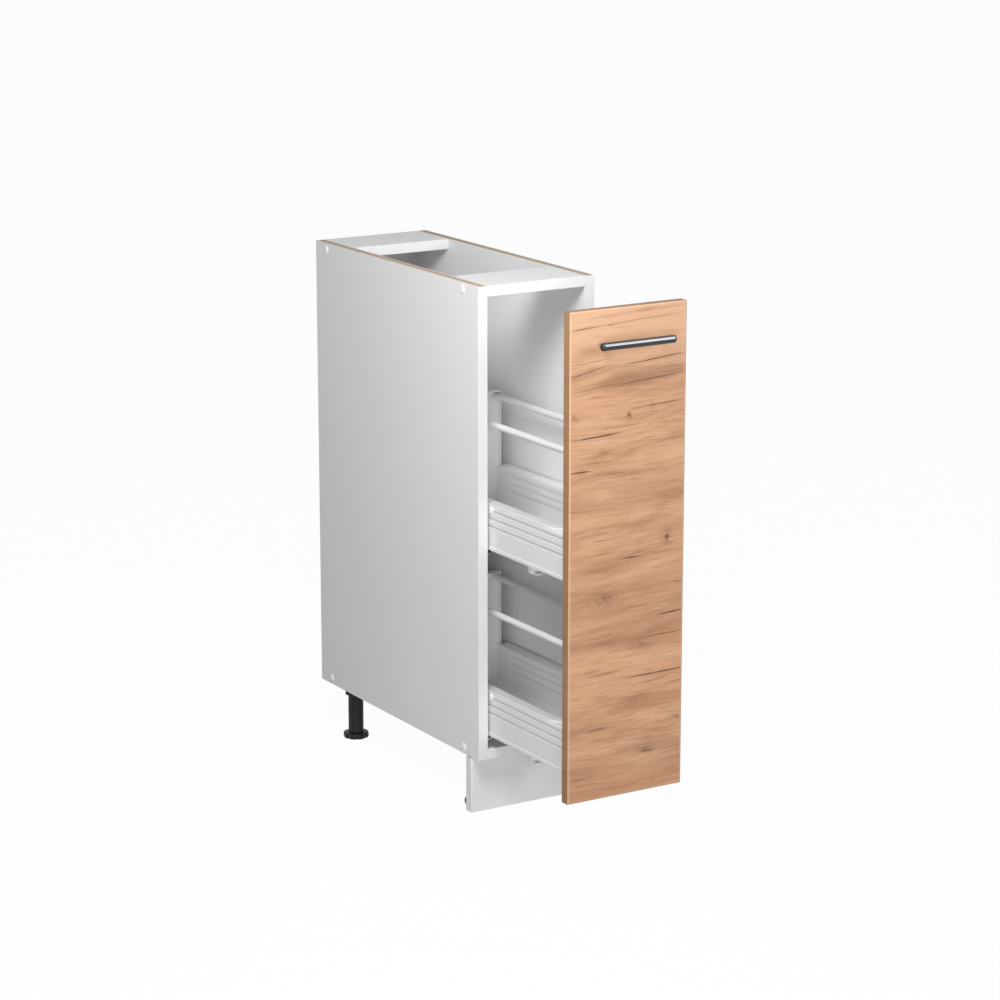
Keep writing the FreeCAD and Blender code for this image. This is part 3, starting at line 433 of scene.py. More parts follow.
oak = {
    "pale": srgb(216, 169, 134), "honey": srgb(205, 157, 121), "rose": srgb(204, 148, 114),
    "light": srgb(229, 184, 149), "brown": srgb(164, 118, 88), "halo": srgb(148, 104, 77),
    "crack": srgb(80, 50, 34), "eye": srgb(98, 64, 44),
    # edge and top: the door's side and top faces, in the edge band's colour darkened by painted shade
    "edge": srgb(146, 110, 76), "top": srgb(116, 92, 72), "seam": srgb(122, 98, 78),
    "rise": 1.7,  # degrees that the grain climbs to the right
    # slow and quick waver of the grain, how far each lifts it, and the share of the lift that marks follow
    "slowSize": (6, 6, 13), "slowLift": 16.0, "quickSize": (50, 50, 150), "quickLift": 1.2, "markLean": 0.35,
    # noise along the grain: scale, detail, roughness, bend, shift
    "fields": {"bands": ((2.6, 2.6, 15), 3.0, 0.55, 0.2), "blush": ((4, 4, 26), 3.0, 0.55, 0.0, (3, 0, 5)),
               "smoke": ((7, 7, 40), 4.0, 0.6, 0.5, (1, 0, 2)), "fibres": ((19, 19, 420), 3.0, 0.65),
               "pores": ((34, 34, 1800), 3.0, 0.6), "dashes": ((15, 15, 270), 3.0, 0.6)},
    "bandSpan": (0.36, 0.64),
    # tints laid over the bands: field, where in it they start and are full, share, colour
    "tints": [("blush", 0.48, 0.72, 0.55, "rose"), ("smoke", 0.54, 0.74, 0.8, "brown"),
              ("smoke", 0.46, 0.26, 0.6, "light"), ("fibres", 0.52, 0.76, 0.6, "brown"),
              ("fibres", 0.48, 0.26, 0.6, "light"), ("pores", 0.54, 0.8, 0.5, "brown"),
              ("dashes", 0.60, 0.76, 0.6, "halo")],
    # painted light: the face grows paler towards its top, standing in for the lamps lighting the top more
    "paintedLightTop": (690, 790), "paintedLightShare": 0.6,
    # soft shades, then cracks: along the grain, height, reach, half height, rise, depth of colour
    "shades": [
        (26, 803, 26, 5, 0.05, 0.6), (-20, 800, 54, 5, 0.05, 0.4), (20, 708, 140, 13, 0.07, 0.62),
        (-64, 722, 60, 12, 0.12, 0.5), (0, 744, 400, 16, 0.03, 0.3), (-20, 540, 300, 36, 0.03, 0.5),
        (20, 484, 400, 26, 0.02, 0.4), (-50, 394, 90, 18, 0.03, 0.65), (30, 408, 400, 26, 0.03, 0.45),
        (20, 353, 200, 15, 0.06, 0.8), (20, 314, 70, 9, 0.03, 0.6), (70, 268, 80, 8, 0.01, 0.4),
        (-50, 200, 100, 11, 0.04, 0.6), (0, 216, 400, 22, 0.02, 0.3), (50, 160, 130, 16, 0.04, 0.75),
        (0, 140, 400, 34, 0.03, 0.55), (0, 186, 400, 26, 0.02, 0.3), (0, 566, 400, 26, 0.02, 0.35),
        (0, 382, 400, 46, 0.02, 0.5), (0, 436, 400, 30, 0.02, 0.35), (0, 334, 400, 30, 0.02, 0.65),
        (0, 116, 400, 30, 0.02, 0.4), (70, 664, 70, 8, 0.03, 0.4), (-70, 630, 60, 7, 0.05, 0.35),
        (-60, 580, 60, 6, 0.02, 0.3), (0, 100, 400, 10, 0.0, 0.35)],
    "cracks": [
        (-52, 629, 56, 1.5, 0.055, 1.0), (-80, 581, 24, 1.4, 0.02, 1.0), (-20, 573, 26, 0.8, 0.03, 0.6),
        (44, 732, 74, 1.2, 0.08, 0.9), (60, 666.3, 50, 1.2, 0.03, 0.85), (30, 703, 70, 1.6, 0.07, 0.6),
        (-66, 723.3, 44, 1.2, 0.19, 0.85), (-68, 736, 42, 1.0, 0.07, 0.5), (-52, 699, 62, 1.2, 0.09, 0.5),
        (-46, 478, 18, 1.0, -0.04, 0.55), (8, 446.5, 22, 1.3, -0.01, 1.0), (24, 452, 12, 1.0, 0.05, 0.5),
        (76, 355.6, 32, 1.8, 0.07, 1.0), (62, 325.3, 58, 0.9, 0.02, 0.85), (56, 268.6, 72, 1.3, 0.0, 1.0),
        (-38, 279.5, 44, 0.9, 0.03, 0.6), (-48, 198, 26, 1.3, 0.04, 0.75), (36, 153, 16, 1.6, -0.02, 0.85),
        (36, 157, 14, 1.0, 0.02, 0.6), (30, 173, 40, 0.9, 0.03, 0.45), (-72, 784.2, 36, 1.1, 0.058, 0.7),
        (2, 788.5, 116, 0.9, 0.058, 0.42), (-30, 785.3, 8, 1.2, 0.05, 0.5), (60, 803, 50, 0.7, 0.05, 0.3),
        (-36, 799, 50, 0.8, 0.04, 0.3), (92, 400, 18, 1.1, 0.02, 0.8), (-8, 639.7, 46, 0.9, 0.02, 0.5),
        (70, 718, 30, 1.2, 0.05, 0.5), (-92, 524, 8, 1.2, -0.2, 0.6), (14, 664, 12, 0.9, 0.02, 0.6)],
    "softShare": 0.6, "shadeShare": 0.75,  # shade that a crack throws, and colour of all shades
    "shadeSmoke": (0.3, 0.62, 0.35, 1.0), "crackBreaks": (0.25, 0.5, 0.55, 1.0),
    # knots: along the grain, height, half length, half height, depth of colour
    "knots": [
        (2, 655, 9, 9, 0.9), (68, 470, 16, 19, 0.95), (-36, 392, 46, 22, 0.62), (-40, 605, 20, 9, 0.6),
        (30, 314, 40, 10, 0.5), (90, 196, 16, 11, 0.7), (-90, 658, 10, 13, 0.55), (36, 155, 24, 8, 0.6),
        (42, 664, 8, 7, 0.5)],
    "ripple": {"Scale": 70.0, "Detail": 3.0}, "rippleReach": (22 * mm, 0, 14 * mm),  # bends the knots' rings
    "fleckSize": (240, 240, 420), "fleckSpan": (0.4, 0.6, 0.15, 1.0),
    # pale painted highlight along the arris round the face; darker edge bands behind it, the edge band's own
    # colour darkened further by painted shade; dark seam at the right and below
    "highlightSide": (94.6, 96.2), "highlightTop": (806.8, 808.2), "highlightDeep": 2.0, "highlightShare": 0.7,
    "bandAndShadeFrom": 1.0, "sideFrom": 97.7, "topFrom": 809.4, "bandAndShadeShare": 0.75,
    "seamRight": (96.1, 96.9), "seamLow": (94.2, 93.4), "seamShare": 0.8,
    "rough": (0.5, 0.62), "crackDeep": -1.2, "poreDeep": -0.7, "bump": 0.25, "depth": 0.15,
}


def oakSplits(near):  # the masks of all shades and of all cracks
    masks = {"shades": 0.0, "cracks": 0.0}

    def deepen(kind, mask, depth):
        masks[kind] = calc("MAXIMUM", masks[kind], calc("MULTIPLY", mask, depth))

    for kind in ("shades", "cracks"):
        for along, up, reach, width, rise, depth in oak[kind]:
            split = placeGroup(oakSplit, {"Vector": near, "Along": along * mm, "Up": up * mm,
                                          "Reach": reach * mm, "Width": width * mm, "Rise": rise})
            deepen(kind, split["Mask"], depth)
            if kind == "cracks":
                deepen("shades", split["Soft"], depth * oak["softShare"])
    return masks["shades"], masks["cracks"]


def oakKnots(vector, near, colour):
    ripple = addNode("TexNoise", {"Vector": vector, **oak["ripple"]}).outputs["Color"]
    ripple = vectorCalc("SUBTRACT", ripple, (0.5, 0.5, 0.5))
    swirl = vectorCalc("MULTIPLY_ADD", ripple, oak["rippleReach"], near)
    flecks = remap(noise(swirl, oak["fleckSize"], rough=0.6), *oak["fleckSpan"])
    for along, up, wide, tall, depth in oak["knots"]:
        knot = placeGroup(oakKnot, {"Vector": swirl, "Along": along * mm, "Up": up * mm,
                                    "Wide": wide * mm, "Tall": tall * mm})
        halo = calc("MULTIPLY", calc("MULTIPLY", knot["Halo"], flecks), depth)
        colour = blendColour(halo, colour, oak["halo"])
        colour = blendColour(calc("MULTIPLY", knot["Eye"], depth ** 2), colour, oak["eye"])
    return colour


def oakEdges(parts, colour):
    side = calc("ABSOLUTE", parts["X"])
    # painted highlight: the face is paler along its arris, as where a rounded edge catches the lamps
    arris = calc("MAXIMUM", ramp(side, oak["highlightSide"]), ramp(parts["Z"], oak["highlightTop"]))
    inFront = calc("LESS_THAN", parts["Y"], (doorFace + oak["highlightDeep"]) * mm)
    arris = calc("MULTIPLY", calc("MULTIPLY", arris, inFront), oak["highlightShare"])
    colour = blendColour(arris, colour, oak["light"])
    # the side and top faces take the darker edge and top colours: edge band colour with painted shade
    behind = calc("GREATER_THAN", parts["Y"], (doorFace + oak["bandAndShadeFrom"]) * mm)
    behind = calc("MULTIPLY", behind, oak["bandAndShadeShare"])
    for place, start, tint in ((side, "sideFrom", "edge"), (parts["Z"], "topFrom", "top")):
        bandAndShade = calc("MULTIPLY", behind, calc("GREATER_THAN", place, oak[start] * mm))
        colour = blendColour(bandAndShade, colour, oak[tint])
    seam = calc("MAXIMUM", ramp(parts["X"], oak["seamRight"]), ramp(parts["Z"], oak["seamLow"]))
    return blendColour(calc("MULTIPLY", seam, oak["seamShare"]), colour, oak["seam"])


def makeOakFront():  # printed oak decor along X: bands, smoke and fibres, then shades, knots and cracks
    material, sockets, vector = newMaterial("oakFront", {"Specular IOR Level": 0.3})
    parts = axes(vector)
    slow, quick = (noise(vector, oak[size]) for size in ("slowSize", "quickSize"))
    lift = calc("MULTIPLY", calc("SUBTRACT", slow, 0.5), oak["slowLift"] * mm)
    lift = calc("MULTIPLY_ADD", calc("SUBTRACT", quick, 0.5), oak["quickLift"] * mm, lift)
    grain = raised(stretched(vector, (1, 1, 1), spin=(0, math.radians(oak["rise"]), 0)), lift)
    fields = {name: noise(grain, *shape) for name, shape in oak["fields"].items()}
    colour = blendColour(remap(fields["bands"], *oak["bandSpan"]), oak["pale"], oak["honey"])
    for name, low, high, share, tint in oak["tints"]:
        colour = blendColour(remap(fields[name], low, high, 0.0, share), colour, oak[tint])
    # painted light: paler towards the top of the face
    paintedTopLight = calc("MULTIPLY", ramp(parts["Z"], oak["paintedLightTop"]), oak["paintedLightShare"])
    colour = blendColour(paintedTopLight, colour, oak["light"])
    near = raised(vector, calc("MULTIPLY", lift, oak["markLean"]))
    shades, cracks = oakSplits(near)
    shades = calc("MULTIPLY", shades, remap(fields["smoke"], *oak["shadeSmoke"]))
    colour = blendColour(calc("MULTIPLY", shades, oak["shadeShare"]), colour, oak["halo"])
    colour = oakKnots(vector, near, colour)
    cracks = calc("MULTIPLY", cracks, remap(quick, *oak["crackBreaks"]))
    colour = oakEdges(parts, blendColour(cracks, colour, oak["crack"]))
    pores = calc("MULTIPLY", fields["pores"], oak["poreDeep"])
    height = calc("MULTIPLY_ADD", cracks, oak["crackDeep"], pores)
    coat(sockets, colour, roughen(fields["fibres"], oak), height, oak)
    return material


metals = {
    "zincSheet": {
        "colour": (0.62, 0.63, 0.65), "shade": (0.48, 0.49, 0.51), "stretch": (700, 14, 700),
        "rough": (0.26, 0.44), "bump": 0.12, "depth": 0.03},
    "darkChrome": {
        "colour": (0.075, 0.077, 0.080), "shade": (0.060, 0.062, 0.065), "stretch": (26, 1900, 1900),
        "rough": (0.08, 0.12), "bump": 0.01, "depth": 0.03},
    "nailSteel": {
        "colour": (0.50, 0.50, 0.51), "shade": (0.38, 0.38, 0.39), "stretch": (900, 900, 900),
        "rough": (0.30, 0.45), "bump": 0.10, "depth": 0.03},
}


def metalMaterial(name, finish):
    material, sockets, vector = newMaterial(name, {"Metallic": 1.0})
    lines = placeGroup(drawnLines, {"Vector": stretched(vector, finish["stretch"])})
    colour = blendColour(lines["Cloud"], finish["colour"], finish["shade"])
    coat(sockets, colour, roughen(lines["Lines"], finish), lines["Lines"], finish)
    return material


whiteBoard, backBoard, oakFront = makeWhiteBoard(), makeBackBoard(), makeOakFront()
zincSheet, darkChrome, nailSteel = (metalMaterial(name, finish) for name, finish in metals.items())
print("materials ready")

boards = ("left_side_panel", "right_side_panel", "bottom_panel", "front_top_rail", "rear_top_rail", "plinth")
dressing = (  # a node takes the first material whose words its name begins or ends with
    (("leg_", "foot_", "plinth_clip"), blackLegPlastic), (boards, whiteBoard),
    (("back_panel",), backBoard), (("door_front",), oakFront),
    (("cabinet_rail", "mid_rail", "drawer_rail", "_screws", "_rollers"), zincSheet),
    (("_carriages",), carriageNylon), (("handle_",), darkChrome),
    (("tray_wall", "rear_upright", "front_bracket", "gallery_rail"), powderCoat),
    (("screw_caps",), whiteCapPlastic), (("door_bumpers",), bumperGel),
    (("tray_", "side_glides", "release_catches"), whiteTrayPlastic),
)
softening = (  # likewise: width of the rounded arris, its segments, least angle between faces
    (("plinth_clip", "rear_upright", "front_bracket"), (0.4, 2, 40)), (boards, (0.7, 3, 40)),
    (("back_panel",), (0.3, 2, 40)), (("door_front",), (0.5, 2, 40)), (("tray_wall",), (0.7, 3, 18)),
)
cadWeld, flatAngle = 0.01, 0.5  # CAD points and faces closer than these are joined before the rounding


def firstMatch(table, name):
    return next((value for words, value in table if name.startswith(words) or name.endswith(words)), None)


def dressNode(obj, material):
    if not obj.material_slots:
        obj.data.materials.append(material)
    for place in obj.material_slots:
        place.material = material


def softenEdges(obj, width, segments, angle):
    weld = obj.modifiers.new("weld", "WELD")
    weld.merge_threshold = cadWeld * mm
    flat = obj.modifiers.new("flatFaces", "DECIMATE")
    flat.decimate_type, flat.angle_limit = "DISSOLVE", math.radians(flatAngle)
    arris = obj.modifiers.new("arris", "BEVEL")
    arris.width, arris.segments = width * mm, segments
    arris.limit_method, arris.angle_limit = "ANGLE", math.radians(angle)


for name, obj in nodes.items():
    dressNode(obj, firstMatch(dressing, name))
    if firstMatch(softening, name):
        softenEdges(obj, *firstMatch(softening, name))
print("CAD nodes dressed")

pointGap = 0.002  # points closer than this are merged


def axisPlace(spot, axis):  # local Z becomes the piece's own axis
    turnTo = Vector(axis).to_track_quat("Z", "Y").to_matrix().to_4x4()
    return Matrix.Translation(Vector(spot) * mm) @ turnTo


def cleanMesh(bm):
    ops.remove_doubles(bm, verts=bm.verts, dist=pointGap * mm)
    ops.recalc_face_normals(bm, faces=bm.faces)


def ofKind(items, kind):
    return [item for item in items if isinstance(item, kind)]


def turnedShape(bm, profile, place, steps):  # profile: radius and distance along the axis
    points = [bm.verts.new(place @ Vector((radius * mm, 0, along * mm))) for radius, along in profile]
    edges = [bm.edges.new(pair) for pair in zip(points, points[1:])]
    ops.spin(bm, geom=points + edges, cent=place.translation, axis=place.to_3x3() @ Vector((0, 0, 1)),
             angle=2 * math.pi, steps=steps, use_merge=True)
    cleanMesh(bm)


def roundedBlock(bm, low, high, radius, segments=2):
    made = ops.create_cube(bm, size=1)["verts"]
    low, high = Vector(low) * mm, Vector(high) * mm
    ops.scale(bm, vec=high - low, verts=made)
    ops.translate(bm, vec=(low + high) / 2, verts=made)
    edges = list({edge for vert in made for edge in vert.link_edges})
    ops.bevel(bm, geom=edges, offset=radius * mm, segments=segments, profile=0.5, affect="EDGES",
              material=-1, clamp_overlap=True)


def finishPiece(bm, name, body, slot, material, *stands, sharp=38):
    cleanMesh(bm)
    for face in bm.faces:
        face.smooth = True
    mesh = bpy.data.meshes.new(name)
    bm.to_mesh(mesh)
    bm.free()
    mesh.set_sharp_from_angle(angle=math.radians(sharp))
    mesh.materials.append(material)
    obj = bpy.data.objects.new(name, mesh)
    scene.collection.objects.link(obj)
    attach(obj, body)
    if stands:
        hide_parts(*stands)


def turnedPiece(name, shape, places, *rest):  # places: spot and axis of each; the rest is for finishPiece
    bm = bmesh.new()
    for spot, axis in places:
        turnedShape(bm, shape["profile"], axisPlace(spot, axis), shape["steps"])
    finishPiece(bm, name, *rest)


screwCaps = {
    "face": 100.0, "behind": (44.0, 462.5), "rows": (800, 100), "steps": 40,
    "profile": [(0, 1.8), (2.2, 1.74), (4.2, 1.46), (5.6, 0.98), (6.4, 0.42), (6.7, 0.12), (6.75, 0), (0, 0)],
}


def makeScrewCaps():
    places = [((side * screwCaps["face"], carcassFront + behind, up), (side, 0, 0))
              for side in hand.values() for behind in screwCaps["behind"] for up in screwCaps["rows"]]
    turnedPiece("screwCapDomes", screwCaps, places, "carcass", "white_cap", whiteCapPlastic, "screw_caps")


legShape = {
    "side": 66.0, "front": carcassFront + 59.5, "rear": carcassFront + 445.0, "steps": 40,
    "profile": [(0, 90), (18.5, 90), (19, 89.5), (19, 80.8), (18.2, 80), (16.3, 79.8), (16, 79.2), (16, 73),
                (15.2, 72), (12.6, 71.6), (12.2, 71), (12.2, 66), (12.2, 16), (12.2, 10), (11.6, 9.3),
                (9.0, 9.3), (9.0, 59.3), (0, 59.3)],
    "flutes": 8, "fluteDepth": 0.6, "fluteFlank": 0.25,
    "fluteLow": 15.0, "fluteHigh": 67.0, "fluteFrom": 11.5,
    "webs": 6, "web": ((15.4, -0.8, 73.6), (18.4, 0.8, 80.4), 0.4),  # two corners and rounding of a gusset
}


def legSpot(corner):  # on the floor under a corner such as front_left
    end, side = corner.split("_")
    return Vector((legShape["side"] * hand[side], legShape[end], 0))


def makeLeg(corner):
    shape, spot = legShape, legSpot(corner)
    bm = bmesh.new()
    turnedShape(bm, shape["profile"], axisPlace(spot, (0, 0, 1)), shape["steps"])
    out = {face: face.calc_center_median() - spot * mm for face in bm.faces}
    column = [face for face in bm.faces if out[face].xy.length > shape["fluteFrom"] * mm
              and shape["fluteLow"] * mm < out[face].z < shape["fluteHigh"] * mm]
    column.sort(key=lambda face: math.atan2(*out[face].yx))
    ops.inset_individual(bm, faces=column[::shape["steps"] // shape["flutes"]],
                         thickness=shape["fluteFlank"] * mm, depth=-shape["fluteDepth"] * mm)
    for step in range(shape["webs"]):  # gussets under the collar
        before = set(bm.verts)
        roundedBlock(bm, *shape["web"])
        fresh = [vert for vert in bm.verts if vert not in before]
        around = Matrix.Rotation(2 * math.pi * step / shape["webs"], 4, "Z")
        ops.transform(bm, matrix=Matrix.Translation(spot * mm) @ around, verts=fresh)
    finishPiece(bm, "leg." + corner, "carcass", "black_plastic", blackLegPlastic, "leg_" + corner)


footShape = {
    "disc": [(0, 0), (18.8, 0), (20.0, 0.7), (20.5, 1.9), (20.5, 6.4), (20.0, 7.9), (18.6, 8.8), (17.6, 9.0),
             (12.0, 9.0), (8.9, 9.1)],
    "threads": 17, "threadLow": 10.0, "pitch": 2.5, "crest": 8.85, "root": 8.1,
    "tip": [(8.1, 52.6), (7.5, 53.0), (0, 53.0)], "steps": 96,
    # finger notches round the rim: points by their degrees from a notch's middle, and shares of its bite
    "notches": 8, "rim": 17.0, "bite": 1.6, "rings": [(-1.9, 2, 1.0), (2.1, 6, 0.75), (5.6, 9.5, 0.3)],
}


def makeFoot(corner):
    shape, spot = footShape, legSpot(corner)
    profile = list(shape["disc"])
    for ring in range(shape["threads"]):  # thread, turned as rings
        height = shape["threadLow"] + shape["pitch"] * ring
        profile += [(shape["crest"], height), (shape["root"], height + shape["pitch"] / 2)]
    bm = bmesh.new()
    turnedShape(bm, profile + shape["tip"], axisPlace(spot, (0, 0, 1)), shape["steps"])
    rim = [vert for vert in bm.verts if (vert.co - spot * mm).xy.length > shape["rim"] * mm]
    for notch in range(shape["notches"]):
        angle = 2 * math.pi * (notch + 0.5) / shape["notches"]
        heading = Vector((math.cos(angle), math.sin(angle), 0))
        off = {vert: math.degrees((vert.co - spot * mm).xy.angle(heading.xy)) for vert in rim}
        for low, high, share in shape["rings"]:
            caught = [vert for vert in rim if low < off[vert] < high]
            ops.translate(bm, vec=heading * -shape["bite"] * share * mm, verts=caught)
    finishPiece(bm, "foot." + corner, "foot_" + corner, "black_plastic", blackLegPlastic, "foot_" + corner)


handlePlace = {"along": doorFace - 24.5, "up": 762.0, "posts": (-48.0, 48.0)}
barEnd = [(0, -62.5), (1.5, -62.4), (2.9, -62.1), (4.1, -61.6), (5.0, -61.0), (5.5, -60.3), (5.75, -59.5),
          (5.75, -57.5)]
handleBar = {"profile": barEnd + [(radius, -along) for radius, along in reversed(barEnd)], "steps": 56}
handlePost = {"profile": [(0, 0), (2.6, 0), (2.8, 0.3), (2.5, 1.2), (2.5, 20.2), (2.3, 21.4), (0, 22.0)],
              "steps": 36}


def makeHandle():
    bar = ((0, handlePlace["along"], handlePlace["up"]), (1, 0, 0))
    turnedPiece("handleBarTurned", handleBar, [bar], "pull_out", "polished_metal", darkChrome, "handle_bar")
    posts = [((across, doorFace, handlePlace["up"]), (0, -1, 0)) for across in handlePlace["posts"]]
    turnedPiece("handlePostsTurned", handlePost, posts, "pull_out", "polished_metal", zincSheet,
                "handle_posts")


galleryShape = {
    "side": 55.5, "up": 180.5, "steps": 40,
    # radius and place behind the door, from the riveted front end to the rivet head behind the upright
    "profile": [(0, 0.1), (2.9, 0.1), (2.9, 1.3), (4.5, 1.3), (5.0, 1.9), (5.0, 5.0), (5.0, 434.0),
                (5.0, 437.3), (4.5, 437.9), (3.0, 438.0), (3.0, 439.3), (4.3, 439.3), (4.1, 440.0),
                (3.2, 440.5), (1.6, 440.75), (0, 440.8)],
}


def makeGalleryRail(tier, side):
    spot = (galleryShape["side"] * hand[side], doorBack, tierBases[tier] + galleryShape["up"])
    name = tier + "_" + side
    turnedPiece("galleryRail." + name, galleryShape, [(spot, (0, 1, 0))], "pull_out", "white_steel",
                powderCoat, "gallery_rail_" + name)


trayWall, grooveBand = 19.5, 2.5  # inner wall from the rim's edge, half height of the bands grooves sink into
trayShape = {
    "half": 80.0, "front": doorBack + 33.0, "back": doorBack + 437.0, "over": 60.0,  # over: cut off behind
    "corner": 42.0, "cornerSteps": 14,
    # distance in from the rim's edge and height over the base: underside, beaded rim, inner wall, floor
    "section": [(22.5, 6.0), (20.2, 6.5), (18.4, 7.9), (17.6, 10.2), (17.5, 12.0), (17.5, 67.4), (17.2, 68.0),
                (0.6, 68.0), (0.1, 68.4), (0.0, 69.2), (0.3, 69.9), (1.0, 70.4), (2.0, 70.5), (2.9, 70.3),
                (3.5, 69.9), (4.4, 69.75), (17.6, 69.75), (18.8, 69.5), (19.35, 68.9), (trayWall, 67.8),
                *((trayWall, row + up) for row in grooveShape["rows"] for up in (grooveBand, -grooveBand)),
                (trayWall, 14.5), (19.8, 12.0), (20.8, 9.8), (22.6, 8.5), (25.0, 8.0)],
    "grooveFlank": 2.3, "grooveEnd": 42.0, "aside": 0.4, "apart": 1.0,  # how near a band's middle has to be
    "sill": (61.0, 2.0, 6.4, 13.0, 0.5),  # half width, thickness, low, high, rounding
    "cutGap": 0.001, "sharp": 50,
}


def trayDish(bm, base):  # a rounded rectangle, extruded along the section
    shape = trayShape
    corner = shape["corner"]
    inset, height = shape["section"][0]
    middle = (shape["front"] + shape["back"] + shape["over"]) / 2
    span = (shape["back"] + shape["over"] - shape["front"]) / 2
    made = ops.create_grid(bm, x_segments=1, y_segments=1, size=1)["verts"]
    ops.scale(bm, vec=(shape["half"] * mm, span * mm, 1), verts=made)
    ops.translate(bm, vec=(0, middle * mm, (base + height) * mm), verts=made)
    ops.bevel(bm, geom=made, offset=corner * mm, offset_type="ABSOLUTE", segments=shape["cornerSteps"],
              profile=0.5, affect="VERTICES", material=-1)
    centres = [Vector((across * (shape["half"] - corner), middle + along * (span - corner), 0)) * mm
               for across in (-1, 1) for along in (-1, 1)]

    def pullIn(verts, share):  # the corners shrink about their own centres, so the walls keep their thickness
        for centre in centres:
            group = [vert for vert in verts if min(centres, key=lambda c: (c - vert.co).xy.length) is centre]
            ops.scale(bm, vec=(share, share, 1), space=Matrix.Translation(-centre), verts=group)

    bottom = face = bm.faces[:][0]
    pullIn(face.verts[:], (corner - inset) / corner)
    for nextInset, nextHeight in shape["section"][1:]:
        grown = ops.extrude_face_region(bm, geom=[face])["geom"]
        if face is not bottom:
            ops.delete(bm, geom=[face], context="FACES_ONLY")
        face = ofKind(grown, bmesh.types.BMFace)[0]
        ops.translate(bm, vec=(0, 0, (nextHeight - height) * mm), verts=face.verts[:])
        pullIn(face.verts[:], (corner - nextInset) / (corner - inset))
        inset, height = nextInset, nextHeight
    ops.recalc_face_normals(bm, faces=bm.faces)


def makeTray(tier):
    shape, base = trayShape, tierBases[tier]
    grooveEnd = shape["back"] - shape["grooveEnd"]
    inner = shape["half"] - trayWall
    bm = bmesh.new()
    trayDish(bm, base)
    for cutAt, clear in ((shape["back"], True), (grooveEnd, False)):  # open rear end, then where grooves end
        ops.bisect_plane(bm, geom=bm.verts[:] + bm.edges[:] + bm.faces[:], dist=shape["cutGap"] * mm,
                         plane_co=(0, cutAt * mm, 0), plane_no=(0, 1, 0), clear_outer=clear)
    ends = [edge for edge in bm.edges if len(edge.link_faces) == 1]
    ops.triangle_fill(bm, edges=ends, use_beauty=True)
    bands = []
    for face in bm.faces:
        spot = face.calc_center_median() / mm
        if (abs(abs(spot.x) - inner) < shape["aside"] and spot.y < grooveEnd
                and any(abs(spot.z - base - row) < shape["apart"] for row in grooveShape["rows"])):
            bands.append(face)
    ops.inset_individual(bm, faces=bands, thickness=shape["grooveFlank"] * mm,
                         depth=-grooveShape["deep"] * mm)
    half, thick, low, high, rounding = shape["sill"]
    roundedBlock(bm, (-half, shape["back"] - thick, base + low), (half, shape["back"], base + high), rounding)
    print("tray", tier, "with", len(bands), "grooves")
    finishPiece(bm, "trayDish." + tier, "pull_out", "white_plastic", whiteTrayPlastic, "tray_" + tier,
                sharp=shape["sharp"])


glideShape = {"side": 80.0, "along": doorBack + 225.0, "up": 61.0, "steps": 36,
              "profile": [(0, 2.2), (3.0, 2.15), (5.0, 1.9), (6.1, 1.3), (6.5, 0.5), (6.5, 0), (0, 0)]}


def makeGlides():
    places = [((side * glideShape["side"], glideShape["along"], base + glideShape["up"]), (side, 0, 0))
              for side in hand.values() for base in tierBases.values()]
    turnedPiece("glideButtons", glideShape, places, "pull_out", "white_plastic", whiteTrayPlastic,
                "side_glides")


catchShape = {
    "inner": 63.0, "outer": 73.0,
    # body, tongue and the thumb ridges under it: how far inside, front and rear behind the door,
    # low and high from the tier's base, rounding, its segments
    "blocks": [(0, 120.0, 135.0, -14.0, 0.0, 1.6, 3), (0.6, 108.0, 122.0, -13.0, -10.0, 1.0, 3),
               *((1.4, front, front + 1.2, -13.5, -12.4, 0.4, 2) for front in (109.6, 112.0, 114.4, 116.8))],
}


def makeCatches():
    bm = bmesh.new()
    for side in hand.values():
        near, far = sorted((side * catchShape["inner"], side * catchShape["outer"]))
        for base in tierBases.values():
            for inset, front, rear, low, high, rounding, segments in catchShape["blocks"]:
                roundedBlock(bm, (near + inset, doorBack + front, base + low),
                             (far - inset, doorBack + rear, base + high), rounding, segments)
    finishPiece(bm, "releaseLevers", "pull_out", "white_plastic", whiteCapPlastic, "release_catches")


bumperShape = {"side": 92.0, "rows": (107.0, 796.0), "steps": 28,
               "profile": [(0, 1.7), (1.8, 1.6), (3.1, 1.2), (3.8, 0.6), (4.0, 0), (0, 0)]}


def makeBumpers():
    places = [((side * bumperShape["side"], doorBack, up), (0, 1, 0))
              for side in hand.values() for up in bumperShape["rows"]]
    turnedPiece("bumperDomes", bumperShape, places, "pull_out", "bumper_rubber", bumperGel, "door_bumpers")


# shares of a head's radius and rise, then the turned rim's facets
screwHeads = {"slotLong": 0.55, "slotWide": 0.14, "slotDeep": 0.75, "shoulder": 0.97, "shoulderUp": 0.55,
              "skirt": (0.3, 0.0), "facets": 12, "twist": 15, "sharp": 30}
screwSets = {  # places: spot and axis of each head
    "bracketScrewHeads": {
        "node": "bracket_screws", "body": "pull_out", "radius": 4.0, "rise": 2.0,
        "places": [((across, doorBack + 1.2, base + up), (0, 1, 0)) for base in tierBases.values()
                   for across in (-36.5, 36.5) for up in (25, 150)]},
    "handleScrewHeads": {
        "node": "handle_screws", "body": "pull_out", "radius": 4.0, "rise": 2.4,
        "places": [((across, doorBack, handlePlace["up"]), (0, 1, 0)) for across in handlePlace["posts"]]},
    "runnerScrewHeads": {
        "node": "runner_screws", "body": "carcass", "radius": 4.0, "rise": 0.9,
        "places": [((side * 82.5, carcassFront + back, base + 12), (-side, 0, 0))
                   for base in tierBases.values() for back in (37.0, 357.0) for side in hand.values()]},
}


